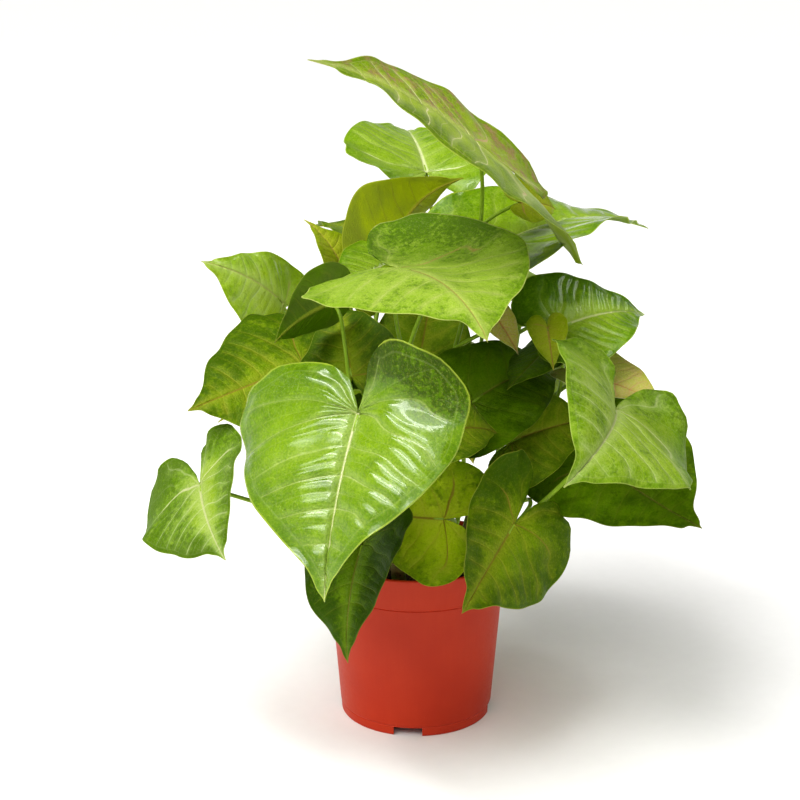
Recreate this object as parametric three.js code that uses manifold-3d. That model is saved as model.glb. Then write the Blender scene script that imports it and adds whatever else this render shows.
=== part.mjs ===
// Arrowhead plant (Syngonium) growing in a round plastic grower pot.
// Millimetres, +Z up, the pot's axis is the Z axis and its foot stands on Z = 0.
import * as THREE from 'three';
import Module from 'manifold-3d';

const wasm = await Module();
wasm.setup();

// ---------------------------------------------------------------- sizes, mm
const POT_HEIGHT = 90;
const POT_RIM_RADIUS = 50;
const POT_BASE_RADIUS = 40;
const POT_SIDES = 44;
const BODY_TOP_RADIUS = 46;
const BAND_BOTTOM = 72.4;
const BAND_BOTTOM_RADIUS = 47.1;
const WALL = 1.2;
const FLOOR_BOTTOM = 5;
const FLOOR_TOP = 6.5;
const NOTCH_WIDTH = 15;
const NOTCH_HEIGHT = 5;
const NOTCH_COUNT = 4;
const NOTCH_TURN = 264;          // degrees, where the first notch faces
const DRAIN_COUNT = 6;
const DRAIN_RADIUS = 4;
const DRAIN_RING = 25;
const SOIL_TOP = 78;
const SOIL_SIDES = 22;
const GAP = 0.3;                 // left between pieces that touch
const BLADE_THICKNESS = 0.8;
const STALK_BASE_RADIUS = 1.4;
const STALK_END_RADIUS = 1.0;
const STALK_SIDES = 5;
const STEM_SIDES = 7;
const STEM_ROOT = 62;            // how far down in the soil the stems reach

const deg = THREE.MathUtils.degToRad;

// Where each shoot stands: its foot, its top's height, and how far it leans
// (degrees) towards which side (degrees from +X).
const STEMS = [
  { x: -26, y: -12, top: 102, lean: 8, turn: -155, radius: 4.2 },
  { x: -8, y: -27, top: 98, lean: 8, turn: -107, radius: 4.2 },
  { x: 13, y: -25, top: 104, lean: 8, turn: -63, radius: 4.2 },
  { x: 28, y: -8, top: 100, lean: 8, turn: -16, radius: 4.2 },
  { x: 25, y: 16, top: 105, lean: 8, turn: 33, radius: 4.2 },
  { x: 3, y: 29, top: 102, lean: 8, turn: 84, radius: 4.2 },
  { x: -21, y: 20, top: 104, lean: 8, turn: 136, radius: 4.2 },
  { x: -8, y: 0, top: 122, lean: 3, turn: 180, radius: 4.2 },
  { x: 8, y: -6, top: 130, lean: 3, turn: -37, radius: 4.2 },
  { x: 4, y: 11, top: 118, lean: 3, turn: 70, radius: 4.2 },
];

// ------------------------------------------------------------------- leaves
// Each leaf: `at`, where the stalk joins the blade; `tip`, its point; `roll`,
// degrees about the midrib; and for its left and right half `width` and `lobe`
// (against the usual outline), `fold` (degrees up from the midrib), `cup`
// (further degrees by the margin) and `lift` (of the lobes). `arch` bows the
// midrib, and `wave`, `waves` and `phase` ruffle the margin. `spokes` divide
// half the margin and `steps` the stalk, which starts at height `from` on its `stem`
// and bows by `bend`.
function leaf(name, finish, settings) {
  return {
    name, finish, roll: 0, width: [1, 1], lobe: [1, 1], fold: [10, 10], cup: [0, 0],
    lift: [0, 0], arch: 0.06, wave: 1.5, waves: 5, phase: 0,
    spokes: 9, steps: 7, ...settings,
  };
}

const LEAVES = [
  leaf('leaf_01', 'matte', {
    at: [26, -33, 308], tip: [-49, -78, 349], roll: 8, width: [1.25, 0.65], lobe: [1.9, 1.9],
    fold: [-8, 19], cup: [-12, 18], lift: [-0.06, -0.01], arch: 0.05, wave: 2.2, phase: 67,
    stem: 8, from: 113, bend: [24, 48, 46],
  }),
  leaf('leaf_02', 'glossy', {
    at: [5, 95, 276], tip: [-7, 159, 292], width: [1.35, 1], lobe: [0.8, 1], fold: [20, 15],
    lift: [0.05, 0], arch: 0.07, wave: 2, phase: 134,
    stem: 10, from: 100, bend: [8, 44, 18],
  }),
  leaf('leaf_03', 'dull', {
    at: [-13, 55, 236], tip: [25, 65, 277], roll: 50, width: [1, 1.2], lobe: [1, 1.4],
    fold: [10, 25], cup: [0, 5], lift: [0, 0.1], arch: 0.19, phase: 201,
    stem: 6, from: 90, bend: [-30, -46, 18],
  }),
  leaf('leaf_04', 'dull', {
    at: [-36, 50, 217], tip: [-61, 61, 255], roll: 5, cup: [-5, 0], arch: 0.11, wave: 0.8,
    phase: 268, spokes: 7, steps: 6,
    stem: 8, from: 84, bend: [2, -4, 6],
  }),
  leaf('leaf_05', 'glossy', {
    at: [43, 14, 250], tip: [126, 70, 249], width: [0.9, 0.95], lobe: [0.95, 1.05], fold: [10, 0],
    cup: [20, 15], lift: [-0.05, -0.1], arch: 0.09, wave: 2.2, phase: 335,
    stem: 5, from: 93, bend: [6, -4, 16],
  }),
  leaf('leaf_06', 'dull', {
    at: [53, 15, 271], tip: [72, 32, 265], roll: -45, width: [1.05, 1], fold: [20, 10], cup: [5, 0],
    arch: 0.07, wave: 0.8, phase: 42, spokes: 7, steps: 6,
    stem: 8, from: 110, bend: [-42, -38, 8],
  }),
  leaf('leaf_07', 'matte', {
    at: [-8, -54, 250], tip: [31, -126, 231], roll: 25, width: [1.35, 1.05], lobe: [2.25, 0.65],
    fold: [10, -35], cup: [60, -10], lift: [0.1, -0.05], arch: 0.09, phase: 109,
    stem: 9, from: 95, bend: [12, 28, 4],
  }),
  leaf('leaf_08', 'glossy', {
    at: [-71, 32, 215], tip: [-109, -4, 244], roll: 50, width: [1.1, 0.7], lobe: [1, 1.4],
    fold: [-30, 15], cup: [5, 5], lift: [0, 0.25], arch: 0.08, phase: 176,
    stem: 8, from: 93, bend: [12, -22, 30],
  }),
  leaf('leaf_09', 'dark', {
    at: [-57, -27, 196], tip: [-111, -56, 180], roll: 35, width: [1.25, 1.35], lobe: [1, 0.85],
    fold: [-10, 0], cup: [-5, -25], lift: [0, -0.05], arch: 0.01, wave: 2, phase: 243,
    stem: 1, from: 84, bend: [12, 16, 10],
  }),
  leaf('leaf_10', 'dark', {
    at: [-42, -35, 229], tip: [-68, -61, 215], roll: -70, fold: [15, 15], cup: [0, 5], arch: 0.07,
    wave: 0.8, phase: 310, spokes: 7, steps: 6,
    stem: 9, from: 88, bend: [-30, -36, 8],
  }),
  leaf('leaf_11', 'dull', {
    at: [-32, -38, 193], tip: [-40, 0, 223], roll: 20, width: [1, 1.05], fold: [5, 10], arch: 0.03,
    phase: 17,
    stem: 8, from: 97, bend: [12, -16, 16],
  }),
  leaf('leaf_12', 'glossy', {
    at: [-26, -118, 196], tip: [-40, -158, 122], roll: -15, width: [1.2, 1.4], lobe: [1, 0.8],
    fold: [20, 15], cup: [-55, -30], lift: [0.5, 0.1], arch: 0.05, wave: 1.8, phase: 84,
    stem: 9, from: 96, bend: [-2, 0, -2],
  }),
  leaf('leaf_13', 'glossy', {
    at: [-48, -66, 190], tip: [-80, -88, 167], roll: -10, width: [1, 1.2], fold: [10, 20],
    cup: [0, 5], arch: 0.18, wave: 2, phase: 151,
    stem: 1, from: 84, bend: [8, 0, -8],
  }),
  leaf('leaf_14', 'matte', {
    at: [-105, -64, 145], tip: [-89, -104, 121], roll: -55, width: [1.15, 1.5], lobe: [1.5, 1.8],
    fold: [0, 5], cup: [5, -10], lift: [0.05, 0.1], arch: 0.07, wave: 2.2, phase: 218,
    stem: 1, from: 96, bend: [24, 18, -30],
  }),
  leaf('leaf_15', 'dark', {
    at: [-26, -77, 119], tip: [-32, -114, 74], roll: -30, width: [1, 1.05], fold: [10, 5],
    cup: [0, -10], arch: 0.07, phase: 285,
    stem: 2, from: 93, bend: [-10, -4, -8],
  }),
  leaf('leaf_16', 'dull', {
    at: [13, -73, 131], tip: [-29, -53, 130], roll: 85, width: [1.25, 1.1], lobe: [0.95, 1.25],
    fold: [15, 0], cup: [5, -10], lift: [0, -0.1], arch: 0.1, phase: 352,
    stem: 3, from: 98, bend: [-2, -4, -2],
  }),
  leaf('leaf_17', 'dull', {
    at: [47, -75, 129], tip: [21, -124, 103], roll: 45, width: [1.15, 0.9], lobe: [1.35, 1.4],
    fold: [-10, 15], cup: [-20, 15], lift: [0.05, 0.1], arch: -0.01, wave: 2, phase: 59,
    stem: 3, from: 93, bend: [42, 12, 26],
  }),
  leaf('leaf_18', 'dark', {
    at: [28, -31, 178], tip: [75, 7, 182], roll: -25, width: [0.95, 1], lobe: [1, 1.1],
    fold: [15, 5], cup: [0, -5], arch: 0.15, phase: 126,
    stem: 3, from: 100, bend: [4, 40, -2],
  }),
  leaf('leaf_19', 'dull', {
    at: [48, -29, 157], tip: [90, -13, 164], roll: -50, width: [1.05, 1.05], fold: [15, 5],
    cup: [5, -5], arch: 0.12, phase: 193,
    stem: 4, from: 93, bend: [8, -14, 2],
  }),
  leaf('leaf_20', 'matte', {
    at: [93, -81, 188], tip: [64, -146, 171], roll: 55, width: [1.25, 1.1], lobe: [1.85, 1.2],
    fold: [20, 15], cup: [-20, -45], lift: [0.15, 0.15], arch: 0.12, wave: 2.5, phase: 260,
    stem: 3, from: 86, bend: [38, -6, 0],
  }),
  leaf('leaf_21', 'dark', {
    at: [92, -20, 144], tip: [136, -82, 130], roll: -30, width: [1.1, 0.95], fold: [5, 5],
    cup: [0, 5], arch: -0.04, phase: 327,
    stem: 4, from: 88, bend: [2, -2, -4],
  }),
  leaf('leaf_22', 'glossy', {
    at: [72, -24, 215], tip: [117, 5, 215], roll: -35, width: [1.05, 1.05], arch: 0.1, wave: 2,
    phase: 34,
    stem: 8, from: 101, bend: [18, 50, 48],
  }),
  leaf('leaf_23', 'dull', {
    at: [86, -22, 190], tip: [123, -43, 179], roll: -10, arch: 0.02, wave: 0.8, phase: 101,
    spokes: 7, steps: 6,
    stem: 4, from: 84, bend: [-6, 26, 20],
  }),
  leaf('leaf_24', 'matte', {
    at: [38, -28, 222], tip: [50, -37, 204], roll: -20, width: [0.75, 0.75], fold: [10, 5],
    arch: 0.03, wave: 0.8, phase: 168, spokes: 7, steps: 6,
    stem: 9, from: 112, bend: [16, 46, 22],
  }),
  leaf('leaf_25', 'dull', {
    at: [64, -35, 217], tip: [66, -53, 200], roll: -10, width: [0.75, 0.75], arch: 0.05, wave: 0.8,
    phase: 235, spokes: 7, steps: 6,
    stem: 9, from: 109, bend: [-64, 20, 26],
  }),
  leaf('leaf_26', 'dull', {
    at: [11, -74, 175], tip: [39, -55, 169], roll: -45, fold: [15, 10], arch: 0.12, wave: 0.8,
    phase: 302, spokes: 7, steps: 6,
    stem: 9, from: 91, bend: [8, 12, 16],
  }),
  leaf('leaf_27', 'matte', {
    at: [61, 49, 215], tip: [118, 98, 186], roll: -10, phase: 9, spokes: 7, steps: 7,
    stem: 5, from: 95, bend: [12, -4, 2],
  }),
  leaf('leaf_28', 'glossy', {
    at: [34, 111, 220], tip: [52, 160, 192], roll: 5, phase: 76, spokes: 7, steps: 7,
    stem: 5, from: 99, bend: [-24, 16, 12],
  }),
  leaf('leaf_29', 'glossy', {
    at: [-41, 84, 212], tip: [-82, 112, 192], roll: 10, phase: 143, spokes: 7, steps: 7,
    stem: 6, from: 90, bend: [-2, -12, 4],
  }),
  leaf('leaf_30', 'dull', {
    at: [50, 89, 168], tip: [84, 146, 132], roll: -5, phase: 210, spokes: 7, steps: 7,
    stem: 10, from: 106, bend: [2, 0, 4],
  }),
  leaf('leaf_31', 'dark', {
    at: [-18, 97, 172], tip: [-38, 156, 134], roll: 10, phase: 277, spokes: 7, steps: 7,
    stem: 10, from: 106, bend: [26, -28, 16],
  }),
  leaf('leaf_32', 'dull', {
    at: [-62, 40, 160], tip: [-112, 72, 138], roll: 5, phase: 344, spokes: 7, steps: 7,
    stem: 7, from: 88, bend: [0, -12, 10],
  }),
  leaf('leaf_33', 'dark', {
    at: [76, 44, 150], tip: [122, 78, 122], roll: -5, phase: 51, spokes: 7, steps: 7,
    stem: 5, from: 84, bend: [4, -2, -2],
  }),
  leaf('leaf_34', 'dull', {
    at: [22, 68, 132], tip: [34, 124, 98], phase: 118, spokes: 7, steps: 7,
    stem: 6, from: 85, bend: [-12, -8, -8],
  }),
  leaf('leaf_35', 'dark', {
    at: [-34, 58, 122], tip: [-56, 104, 90], phase: 185, spokes: 7, steps: 7,
    stem: 7, from: 96, bend: [-26, 0, -18],
  }),
  leaf('leaf_36', 'glossy', {
    at: [-15, 17, 239], tip: [-40, -17, 235], roll: 10, lobe: [1, 1.1], lift: [0, 0.05],
    arch: -0.01, wave: 0.8, phase: 252, spokes: 7, steps: 6,
    stem: 8, from: 93, bend: [-48, 0, 36],
  }),
  leaf('leaf_37', 'dark', {
    at: [67, -19, 205], tip: [44, -48, 189], roll: -10, width: [1.05, 0.95], fold: [0, 0],
    cup: [-10, -15], arch: 0, wave: 0.8, phase: 319, spokes: 7, steps: 6,
    stem: 5, from: 84, bend: [8, -6, 6],
  }),
  leaf('leaf_38', 'dull', {
    at: [2, 56, 180], tip: [12, 86, 225], arch: 0.03, wave: 0.8, phase: 26, spokes: 7, steps: 6,
    stem: 6, from: 93, bend: [18, -14, -4],
  }),
  leaf('leaf_39', 'dull', {
    at: [-26, 86, 240], tip: [-60, 118, 242], roll: -5, width: [0.95, 0.95], phase: 93, spokes: 7,
    steps: 7,
    stem: 10, from: 107, bend: [-14, 4, 2],
  }),
];

// ------------------------------------------------------------ solid helpers
function solid(points, faces) {
  const mesh = new wasm.Mesh({
    numProp: 3,
    vertProperties: new Float32Array(points.flatMap((p) => [p.x, p.y, p.z])),
    triVerts: new Uint32Array(faces.flat()),
  });
  return new wasm.Manifold(mesh);
}

function solidOfGeometry(geometry, matrix) {
  const position = geometry.attributes.position;
  const seen = new Map();
  const points = [];
  const places = [];
  for (let i = 0; i < position.count; i++) {
    const p = new THREE.Vector3().fromBufferAttribute(position, i);
    if (matrix) p.applyMatrix4(matrix);
    const key = [p.x, p.y, p.z].map((c) => Math.round(c * 1e4)).join(' ');
    if (!seen.has(key)) {
      seen.set(key, points.length);
      points.push(p);
    }
    places.push(seen.get(key));
  }
  const corner = geometry.index ? [...geometry.index.array] : places.map((_, i) => i);
  const faces = [];
  for (let i = 0; i < corner.length; i += 3) {
    const face = [places[corner[i]], places[corner[i + 1]], places[corner[i + 2]]];
    if (new Set(face).size === 3) faces.push(face);
  }
  return solid(points, faces);
}

// A profile [radius, height] from the bottom of the axis to the top, turned
// about Z.
function turned(profile, sides) {
  const outline = profile.map(([radius, height]) => new THREE.Vector2(radius, height));
  const geometry = new THREE.LatheGeometry(outline, sides);
  return solidOfGeometry(geometry, new THREE.Matrix4().makeRotationX(Math.PI / 2));
}

function meshOf(name, manifold, material) {
  const { vertProperties, triVerts, numProp } = manifold.getMesh();
  const position = new Float32Array((vertProperties.length / numProp) * 3);
  for (let i = 0; i < position.length / 3; i++) {
    for (let c = 0; c < 3; c++) position[3 * i + c] = vertProperties[numProp * i + c];
  }
  const geometry = new THREE.BufferGeometry();
  geometry.setAttribute('position', new THREE.BufferAttribute(position, 3));
  geometry.setIndex(new THREE.BufferAttribute(new Uint32Array(triVerts), 1));
  geometry.computeVertexNormals();
  const mesh = new THREE.Mesh(geometry, material);
  mesh.name = name;
  return mesh;
}

// ---------------------------------------------------------------------- pot
// One moulded shell: a tapered wall, a raised floor inside a foot ring, and a
// wider band round the rim.
const POT_INNER = [
  [POT_BASE_RADIUS - WALL + 0.3, FLOOR_TOP],
  [BODY_TOP_RADIUS - WALL, BAND_BOTTOM - 1],
  [BAND_BOTTOM_RADIUS - WALL, BAND_BOTTOM + 1],
  [POT_RIM_RADIUS - 1.9, POT_HEIGHT - 1.5],
];

function makePot() {
  const profile = [
    [0, FLOOR_BOTTOM],
    [POT_BASE_RADIUS - WALL - 0.9, FLOOR_BOTTOM],
    [POT_BASE_RADIUS - WALL - 0.4, 0],
    [POT_BASE_RADIUS - 0.4, 0],
    [POT_BASE_RADIUS, 0.6],
    [POT_BASE_RADIUS + 0.2, 5],
    [POT_BASE_RADIUS + 0.6, 5.5],
    [BODY_TOP_RADIUS, BAND_BOTTOM - 0.4],
    [BAND_BOTTOM_RADIUS, BAND_BOTTOM],
    [POT_RIM_RADIUS, POT_HEIGHT - 0.9],
    [POT_RIM_RADIUS - 0.5, POT_HEIGHT],
    [POT_RIM_RADIUS - 1.3, POT_HEIGHT],
    ...[...POT_INNER].reverse(),
    [0, FLOOR_TOP],
  ];
  let pot = turned(profile, POT_SIDES);
  for (let i = 0; i < NOTCH_COUNT; i++) {
    const turn = deg(NOTCH_TURN + (360 * i) / NOTCH_COUNT);
    const notch = new THREE.BoxGeometry(16, NOTCH_WIDTH, 2 * NOTCH_HEIGHT - 0.6);
    const place = new THREE.Matrix4().makeRotationZ(turn);
    place.multiply(new THREE.Matrix4().makeTranslation(POT_BASE_RADIUS, 0, 0));
    pot = pot.subtract(solidOfGeometry(notch, place));
  }
  for (let i = 0; i < DRAIN_COUNT; i++) {
    const turn = (2 * Math.PI * i) / DRAIN_COUNT;
    const hole = new THREE.CylinderGeometry(DRAIN_RADIUS, DRAIN_RADIUS, 6, 12);
    const place = new THREE.Matrix4().makeTranslation(
      DRAIN_RING * Math.cos(turn), DRAIN_RING * Math.sin(turn), (FLOOR_BOTTOM + FLOOR_TOP) / 2);
    place.multiply(new THREE.Matrix4().makeRotationX(Math.PI / 2));
    pot = pot.subtract(solidOfGeometry(hole, place));
  }
  return pot;
}

// -------------------------------------------------------------------- stems
// Short leafy shoots, each a little thicker at the joints where leaves left.
function stemSolid(stem, swell) {
  const length = stem.top - STEM_ROOT;
  const joints = Math.max(2, Math.round(length / 20));
  const profile = [[0, -swell], [stem.radius * 0.8 + swell, -swell]];
  for (let i = 1; i <= joints; i++) {
    const height = (length * i) / (joints + 0.6);
    profile.push([stem.radius * (1 - 0.12 * (i / joints)) + swell, height - 3]);
    profile.push([stem.radius * (1.1 - 0.12 * (i / joints)) + swell, height]);
  }
  profile.push([stem.radius * 0.55 + swell, length], [0, length + swell]);
  const lean = new THREE.Matrix4().makeTranslation(stem.x, stem.y, STEM_ROOT);
  lean.multiply(new THREE.Matrix4().makeRotationZ(deg(stem.turn)));
  lean.multiply(new THREE.Matrix4().makeRotationY(deg(stem.lean)));
  return turned(profile, STEM_SIDES).transform(lean.elements);
}

// The point on a stem's axis at a height above the ground.
function stemPoint(stem, height) {
  const run = (height - STEM_ROOT) * Math.tan(deg(stem.lean));
  return new THREE.Vector3(
    stem.x + run * Math.cos(deg(stem.turn)), stem.y + run * Math.sin(deg(stem.turn)), height);
}

// --------------------------------------------------------------------- soil
// Potting mix up to SOIL_TOP, lumpy on top, with a plain hole for each stem.
function makeSoil(stems) {
  const points = [new THREE.Vector3(0, 0, FLOOR_TOP + GAP)];
  const rings = [];
  const sunk = (radius, height) => [radius - GAP, height];
  const inner = [
    sunk(POT_INNER[0][0], FLOOR_TOP + GAP),
    sunk(POT_INNER[1][0], POT_INNER[1][1]),
    sunk(POT_INNER[2][0], POT_INNER[2][1]),
    sunk(POT_INNER[2][0] + 0.6, SOIL_TOP - 1.6),
    [42, SOIL_TOP], [32, SOIL_TOP], [21, SOIL_TOP + 1], [10, SOIL_TOP + 1],
  ];
  inner.forEach(([radius, height], r) => {
    const ring = [];
    for (let s = 0; s < SOIL_SIDES; s++) {
      const turn = (2 * Math.PI * s) / SOIL_SIDES;
      const lump = r < 4 ? 0 : 1.1 * Math.sin(3 * turn + 2 * r) + 0.8 * Math.sin(7 * turn - 3 * r);
      ring.push(points.length);
      points.push(new THREE.Vector3(
        radius * Math.cos(turn), radius * Math.sin(turn), height + lump));
    }
    rings.push(ring);
  });
  const top = points.length;
  points.push(new THREE.Vector3(0, 0, SOIL_TOP + 1.5));
  const faces = [];
  for (let s = 0; s < SOIL_SIDES; s++) {
    const next = (s + 1) % SOIL_SIDES;
    faces.push([0, rings[0][next], rings[0][s]]);
    for (let r = 1; r < rings.length; r++) {
      faces.push([rings[r - 1][s], rings[r - 1][next], rings[r][next]]);
      faces.push([rings[r - 1][s], rings[r][next], rings[r][s]]);
    }
    const last = rings[rings.length - 1];
    faces.push([last[s], last[next], top]);
  }
  let soil = solid(points, faces);
  for (const stem of stems) soil = soil.subtract(stemSolid(stem, GAP));
  return soil;
}

// -------------------------------------------------------------- leaf blades
// Half of the blade's outline in leaf lengths, from the tip round the lobe to
// the notch where the leaf stalk joins at [0, 0].
const HALF_OUTLINE = [
  [1, 0], [0.92, 0.035], [0.8, 0.12], [0.6, 0.3], [0.36, 0.45], [0.1, 0.54],
  [-0.12, 0.54], [-0.27, 0.45], [-0.34, 0.31], [-0.33, 0.17], [-0.23, 0.065], [-0.1, 0.02],
].map(([along, across]) => new THREE.Vector2(along, across));
const BLADE_RINGS = [0.36, 0.7, 1];
const HALF_WIDTH = 0.54;

// The leaf's own directions: x to the tip, y to its left, n up off its face.
function leafFrame(leaf) {
  const at = new THREE.Vector3(...leaf.at);
  const x = new THREE.Vector3(...leaf.tip).sub(at);
  const length = x.length();
  x.normalize();
  const n = new THREE.Vector3(0, 0, 1);
  n.addScaledVector(x, -n.dot(x)).normalize();
  n.applyAxisAngle(x, deg(-leaf.roll));
  const y = new THREE.Vector3().crossVectors(n, x);
  return { at, length, x, y, n };
}

// A point of the flat leaf (along, across, in leaf lengths) folded, cupped,
// arched and waved into its place in space.
function bladePoint(leaf, frame, along, across, reach, turn) {
  const side = across >= 0 ? 0 : 1;
  const fold = deg(leaf.fold[side]);
  const bend = (deg(leaf.cup[side]) || 1e-6) / (HALF_WIDTH * leaf.width[side] * frame.length);
  const out = Math.abs(across) * frame.length;
  const spread = (Math.sin(fold + bend * out) - Math.sin(fold)) / bend;
  const back = Math.min(along, 0);
  const arch = 4 * leaf.arch * frame.length * (along > 0 ? along * (1 - along) : along);
  let rise = (Math.cos(fold) - Math.cos(fold + bend * out)) / bend;
  rise += 4 * leaf.lift[side] * frame.length * back * back;
  const wide = spread * (across >= 0 ? 1 : -1);
  const ruffle = Math.sin(2 * Math.PI * leaf.waves * turn + deg(leaf.phase));
  rise += arch + leaf.wave * reach ** 3 * ruffle * Math.min(1, 3 * Math.abs(across));
  return frame.at.clone()
    .addScaledVector(frame.x, along * frame.length)
    .addScaledVector(frame.y, wide)
    .addScaledVector(frame.n, rise);
}

function bladeSolid(leaf, frame) {
  const half = new THREE.SplineCurve(HALF_OUTLINE).getPoints(leaf.spokes);
  const edge = [];
  for (let i = half.length - 1; i >= 0; i--) edge.push([half[i].x, half[i].y, 0]);
  for (let i = 1; i < half.length; i++) edge.push([half[i].x, -half[i].y, 1]);
  for (const point of edge) {
    if (point[0] < 0) point[0] *= leaf.lobe[point[2]];
    point[1] *= leaf.width[point[2]];
  }
  const count = edge.length;
  const middle = [bladePoint(leaf, frame, 0, 0, 0, 0.5)];
  for (const reach of BLADE_RINGS) {
    edge.forEach(([along, across], i) => middle.push(
      bladePoint(leaf, frame, along * reach, across * reach, reach, i / (count - 1))));
  }
  const place = (ring, spoke) => 1 + ring * count + spoke;
  const faces = [];
  for (let s = 0; s < count - 1; s++) {
    faces.push([0, place(0, s + 1), place(0, s)]);
    for (let r = 1; r < BLADE_RINGS.length; r++) {
      faces.push([place(r - 1, s), place(r - 1, s + 1), place(r, s + 1)]);
      faces.push([place(r - 1, s), place(r, s + 1), place(r, s)]);
    }
  }
  const normals = middle.map(() => new THREE.Vector3());
  for (const [a, b, c] of faces) {
    const ab = middle[b].clone().sub(middle[a]);
    const ac = middle[c].clone().sub(middle[a]);
    const normal = ab.cross(ac);
    for (const corner of [a, b, c]) normals[corner].add(normal);
  }
  normals.forEach((normal) => normal.normalize());
  const upper = middle.map((p, i) => p.clone().addScaledVector(normals[i], BLADE_THICKNESS / 2));
  const lower = middle.map((p, i) => p.clone().addScaledVector(normals[i], -BLADE_THICKNESS / 2));
  const shift = middle.length;
  const shell = [...faces, ...faces.map(([a, b, c]) => [a + shift, c + shift, b + shift])];
  const rim = [0];
  for (let r = 0; r < BLADE_RINGS.length; r++) rim.push(place(r, 0));
  for (let s = 1; s < count; s++) rim.push(place(BLADE_RINGS.length - 1, s));
  for (let r = BLADE_RINGS.length - 2; r >= 0; r--) rim.push(place(r, count - 1));
  rim.forEach((a, i) => {
    const b = rim[(i + 1) % rim.length];
    shell.push([a, b, b + shift], [a, b + shift, a + shift]);
  });
  return solid([...upper, ...lower], shell);
}

// -------------------------------------------------------------- leaf stalks
// The stalk leaves its stem upwards and outwards, comes up behind the blade
// and runs a little way on under the midrib.
function stalkCurve(leaf, frame, stem) {
  const start = stemPoint(stem, leaf.from);
  const end = frame.at.clone().addScaledVector(frame.n, -0.9);
  const arrive = frame.x.clone().multiplyScalar(0.45).addScaledVector(frame.n, 0.9).normalize();
  const gap = end.distanceTo(start);
  const away = new THREE.Vector3(end.x - start.x, end.y - start.y, 0);
  if (away.length() > 1) away.normalize();
  const leave = away.multiplyScalar(0.55).add(new THREE.Vector3(0, 0, 1)).normalize();
  const bend = new THREE.Vector3(...leaf.bend);
  const first = start.clone().addScaledVector(leave, 0.38 * gap).add(bend);
  const second = end.clone().addScaledVector(arrive, -Math.min(0.3 * gap, 30))
    .addScaledVector(bend, 0.5);
  const sweep = new THREE.CubicBezierCurve3(start, first, second, end);
  const points = [0, 0.12, 0.3, 0.5, 0.7, 0.86, 0.95, 1].map((t) => sweep.getPoint(t));
  const under = bladePoint(leaf, frame, 0.1, 0, 0, 0.5).addScaledVector(frame.n, -0.7);
  points.push(under);
  return new THREE.CatmullRomCurve3(points, false, 'centripetal');
}

function stalkSolid(curve, steps) {
  const frames = curve.computeFrenetFrames(steps);
  const points = [];
  for (let i = 0; i <= steps; i++) {
    const t = i / steps;
    const centre = curve.getPointAt(t);
    const sheath = 0.4 * Math.max(0, 1 - 6 * t);
    const radius = THREE.MathUtils.lerp(STALK_BASE_RADIUS, STALK_END_RADIUS, t) + sheath;
    for (let s = 0; s < STALK_SIDES; s++) {
      const turn = (2 * Math.PI * s) / STALK_SIDES;
      points.push(centre.clone()
        .addScaledVector(frames.normals[i], radius * Math.cos(turn))
        .addScaledVector(frames.binormals[i], radius * Math.sin(turn)));
    }
  }
  const faces = [];
  for (let i = 0; i < steps; i++) {
    for (let s = 0; s < STALK_SIDES; s++) {
      const a = i * STALK_SIDES + s;
      const b = i * STALK_SIDES + ((s + 1) % STALK_SIDES);
      faces.push([a, b, b + STALK_SIDES], [a, b + STALK_SIDES, a + STALK_SIDES]);
    }
  }
  const last = steps * STALK_SIDES;
  for (let s = 1; s < STALK_SIDES - 1; s++) {
    faces.push([0, s + 1, s], [last, last + s, last + s + 1]);
  }
  return solid(points, faces);
}

function makeLeaf(leaf) {
  const frame = leafFrame(leaf);
  const stem = STEMS[leaf.stem - 1];
  const curve = stalkCurve(leaf, frame, stem);
  const stalk = stalkSolid(curve, leaf.steps).subtract(stemSolid(stem, GAP));
  return bladeSolid(leaf, frame).add(stalk);
}

// ----------------------------------------------------------------- assembly
const finish = (color, roughness) => new THREE.MeshStandardMaterial({
  color, roughness, metalness: 0 });
const terracottaPlastic = finish(0xb83c24, 0.45);
const pottingMix = finish(0x3a2a1e, 0.95);
const stemGreen = finish(0x7f9440, 0.6);
const LEAF_FINISHES = {
  glossy: finish(0x6fa51e, 0.28),
  matte: finish(0x93b84a, 0.5),
  dull: finish(0x5c7f1e, 0.45),
  dark: finish(0x3c5f14, 0.45),
};

const plant = new THREE.Group();
plant.name = 'arrowhead_plant';
plant.add(meshOf('pot', makePot(), terracottaPlastic));
plant.add(meshOf('soil', makeSoil(STEMS), pottingMix));
STEMS.forEach((stem, i) => {
  plant.add(meshOf(`stem_${i + 1}`, stemSolid(stem, 0), stemGreen));
});
for (const leaf of LEAVES) {
  plant.add(meshOf(leaf.name, makeLeaf(leaf), LEAF_FINISHES[leaf.finish]));
}

export default plant;
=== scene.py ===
"""Arrowhead plant (Syngonium) in a terracotta-coloured plastic grower pot: its looks."""
import math
import random

import bmesh
import bpy
import numpy as np
from mathutils import Euler, Matrix, Vector, noise


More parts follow.
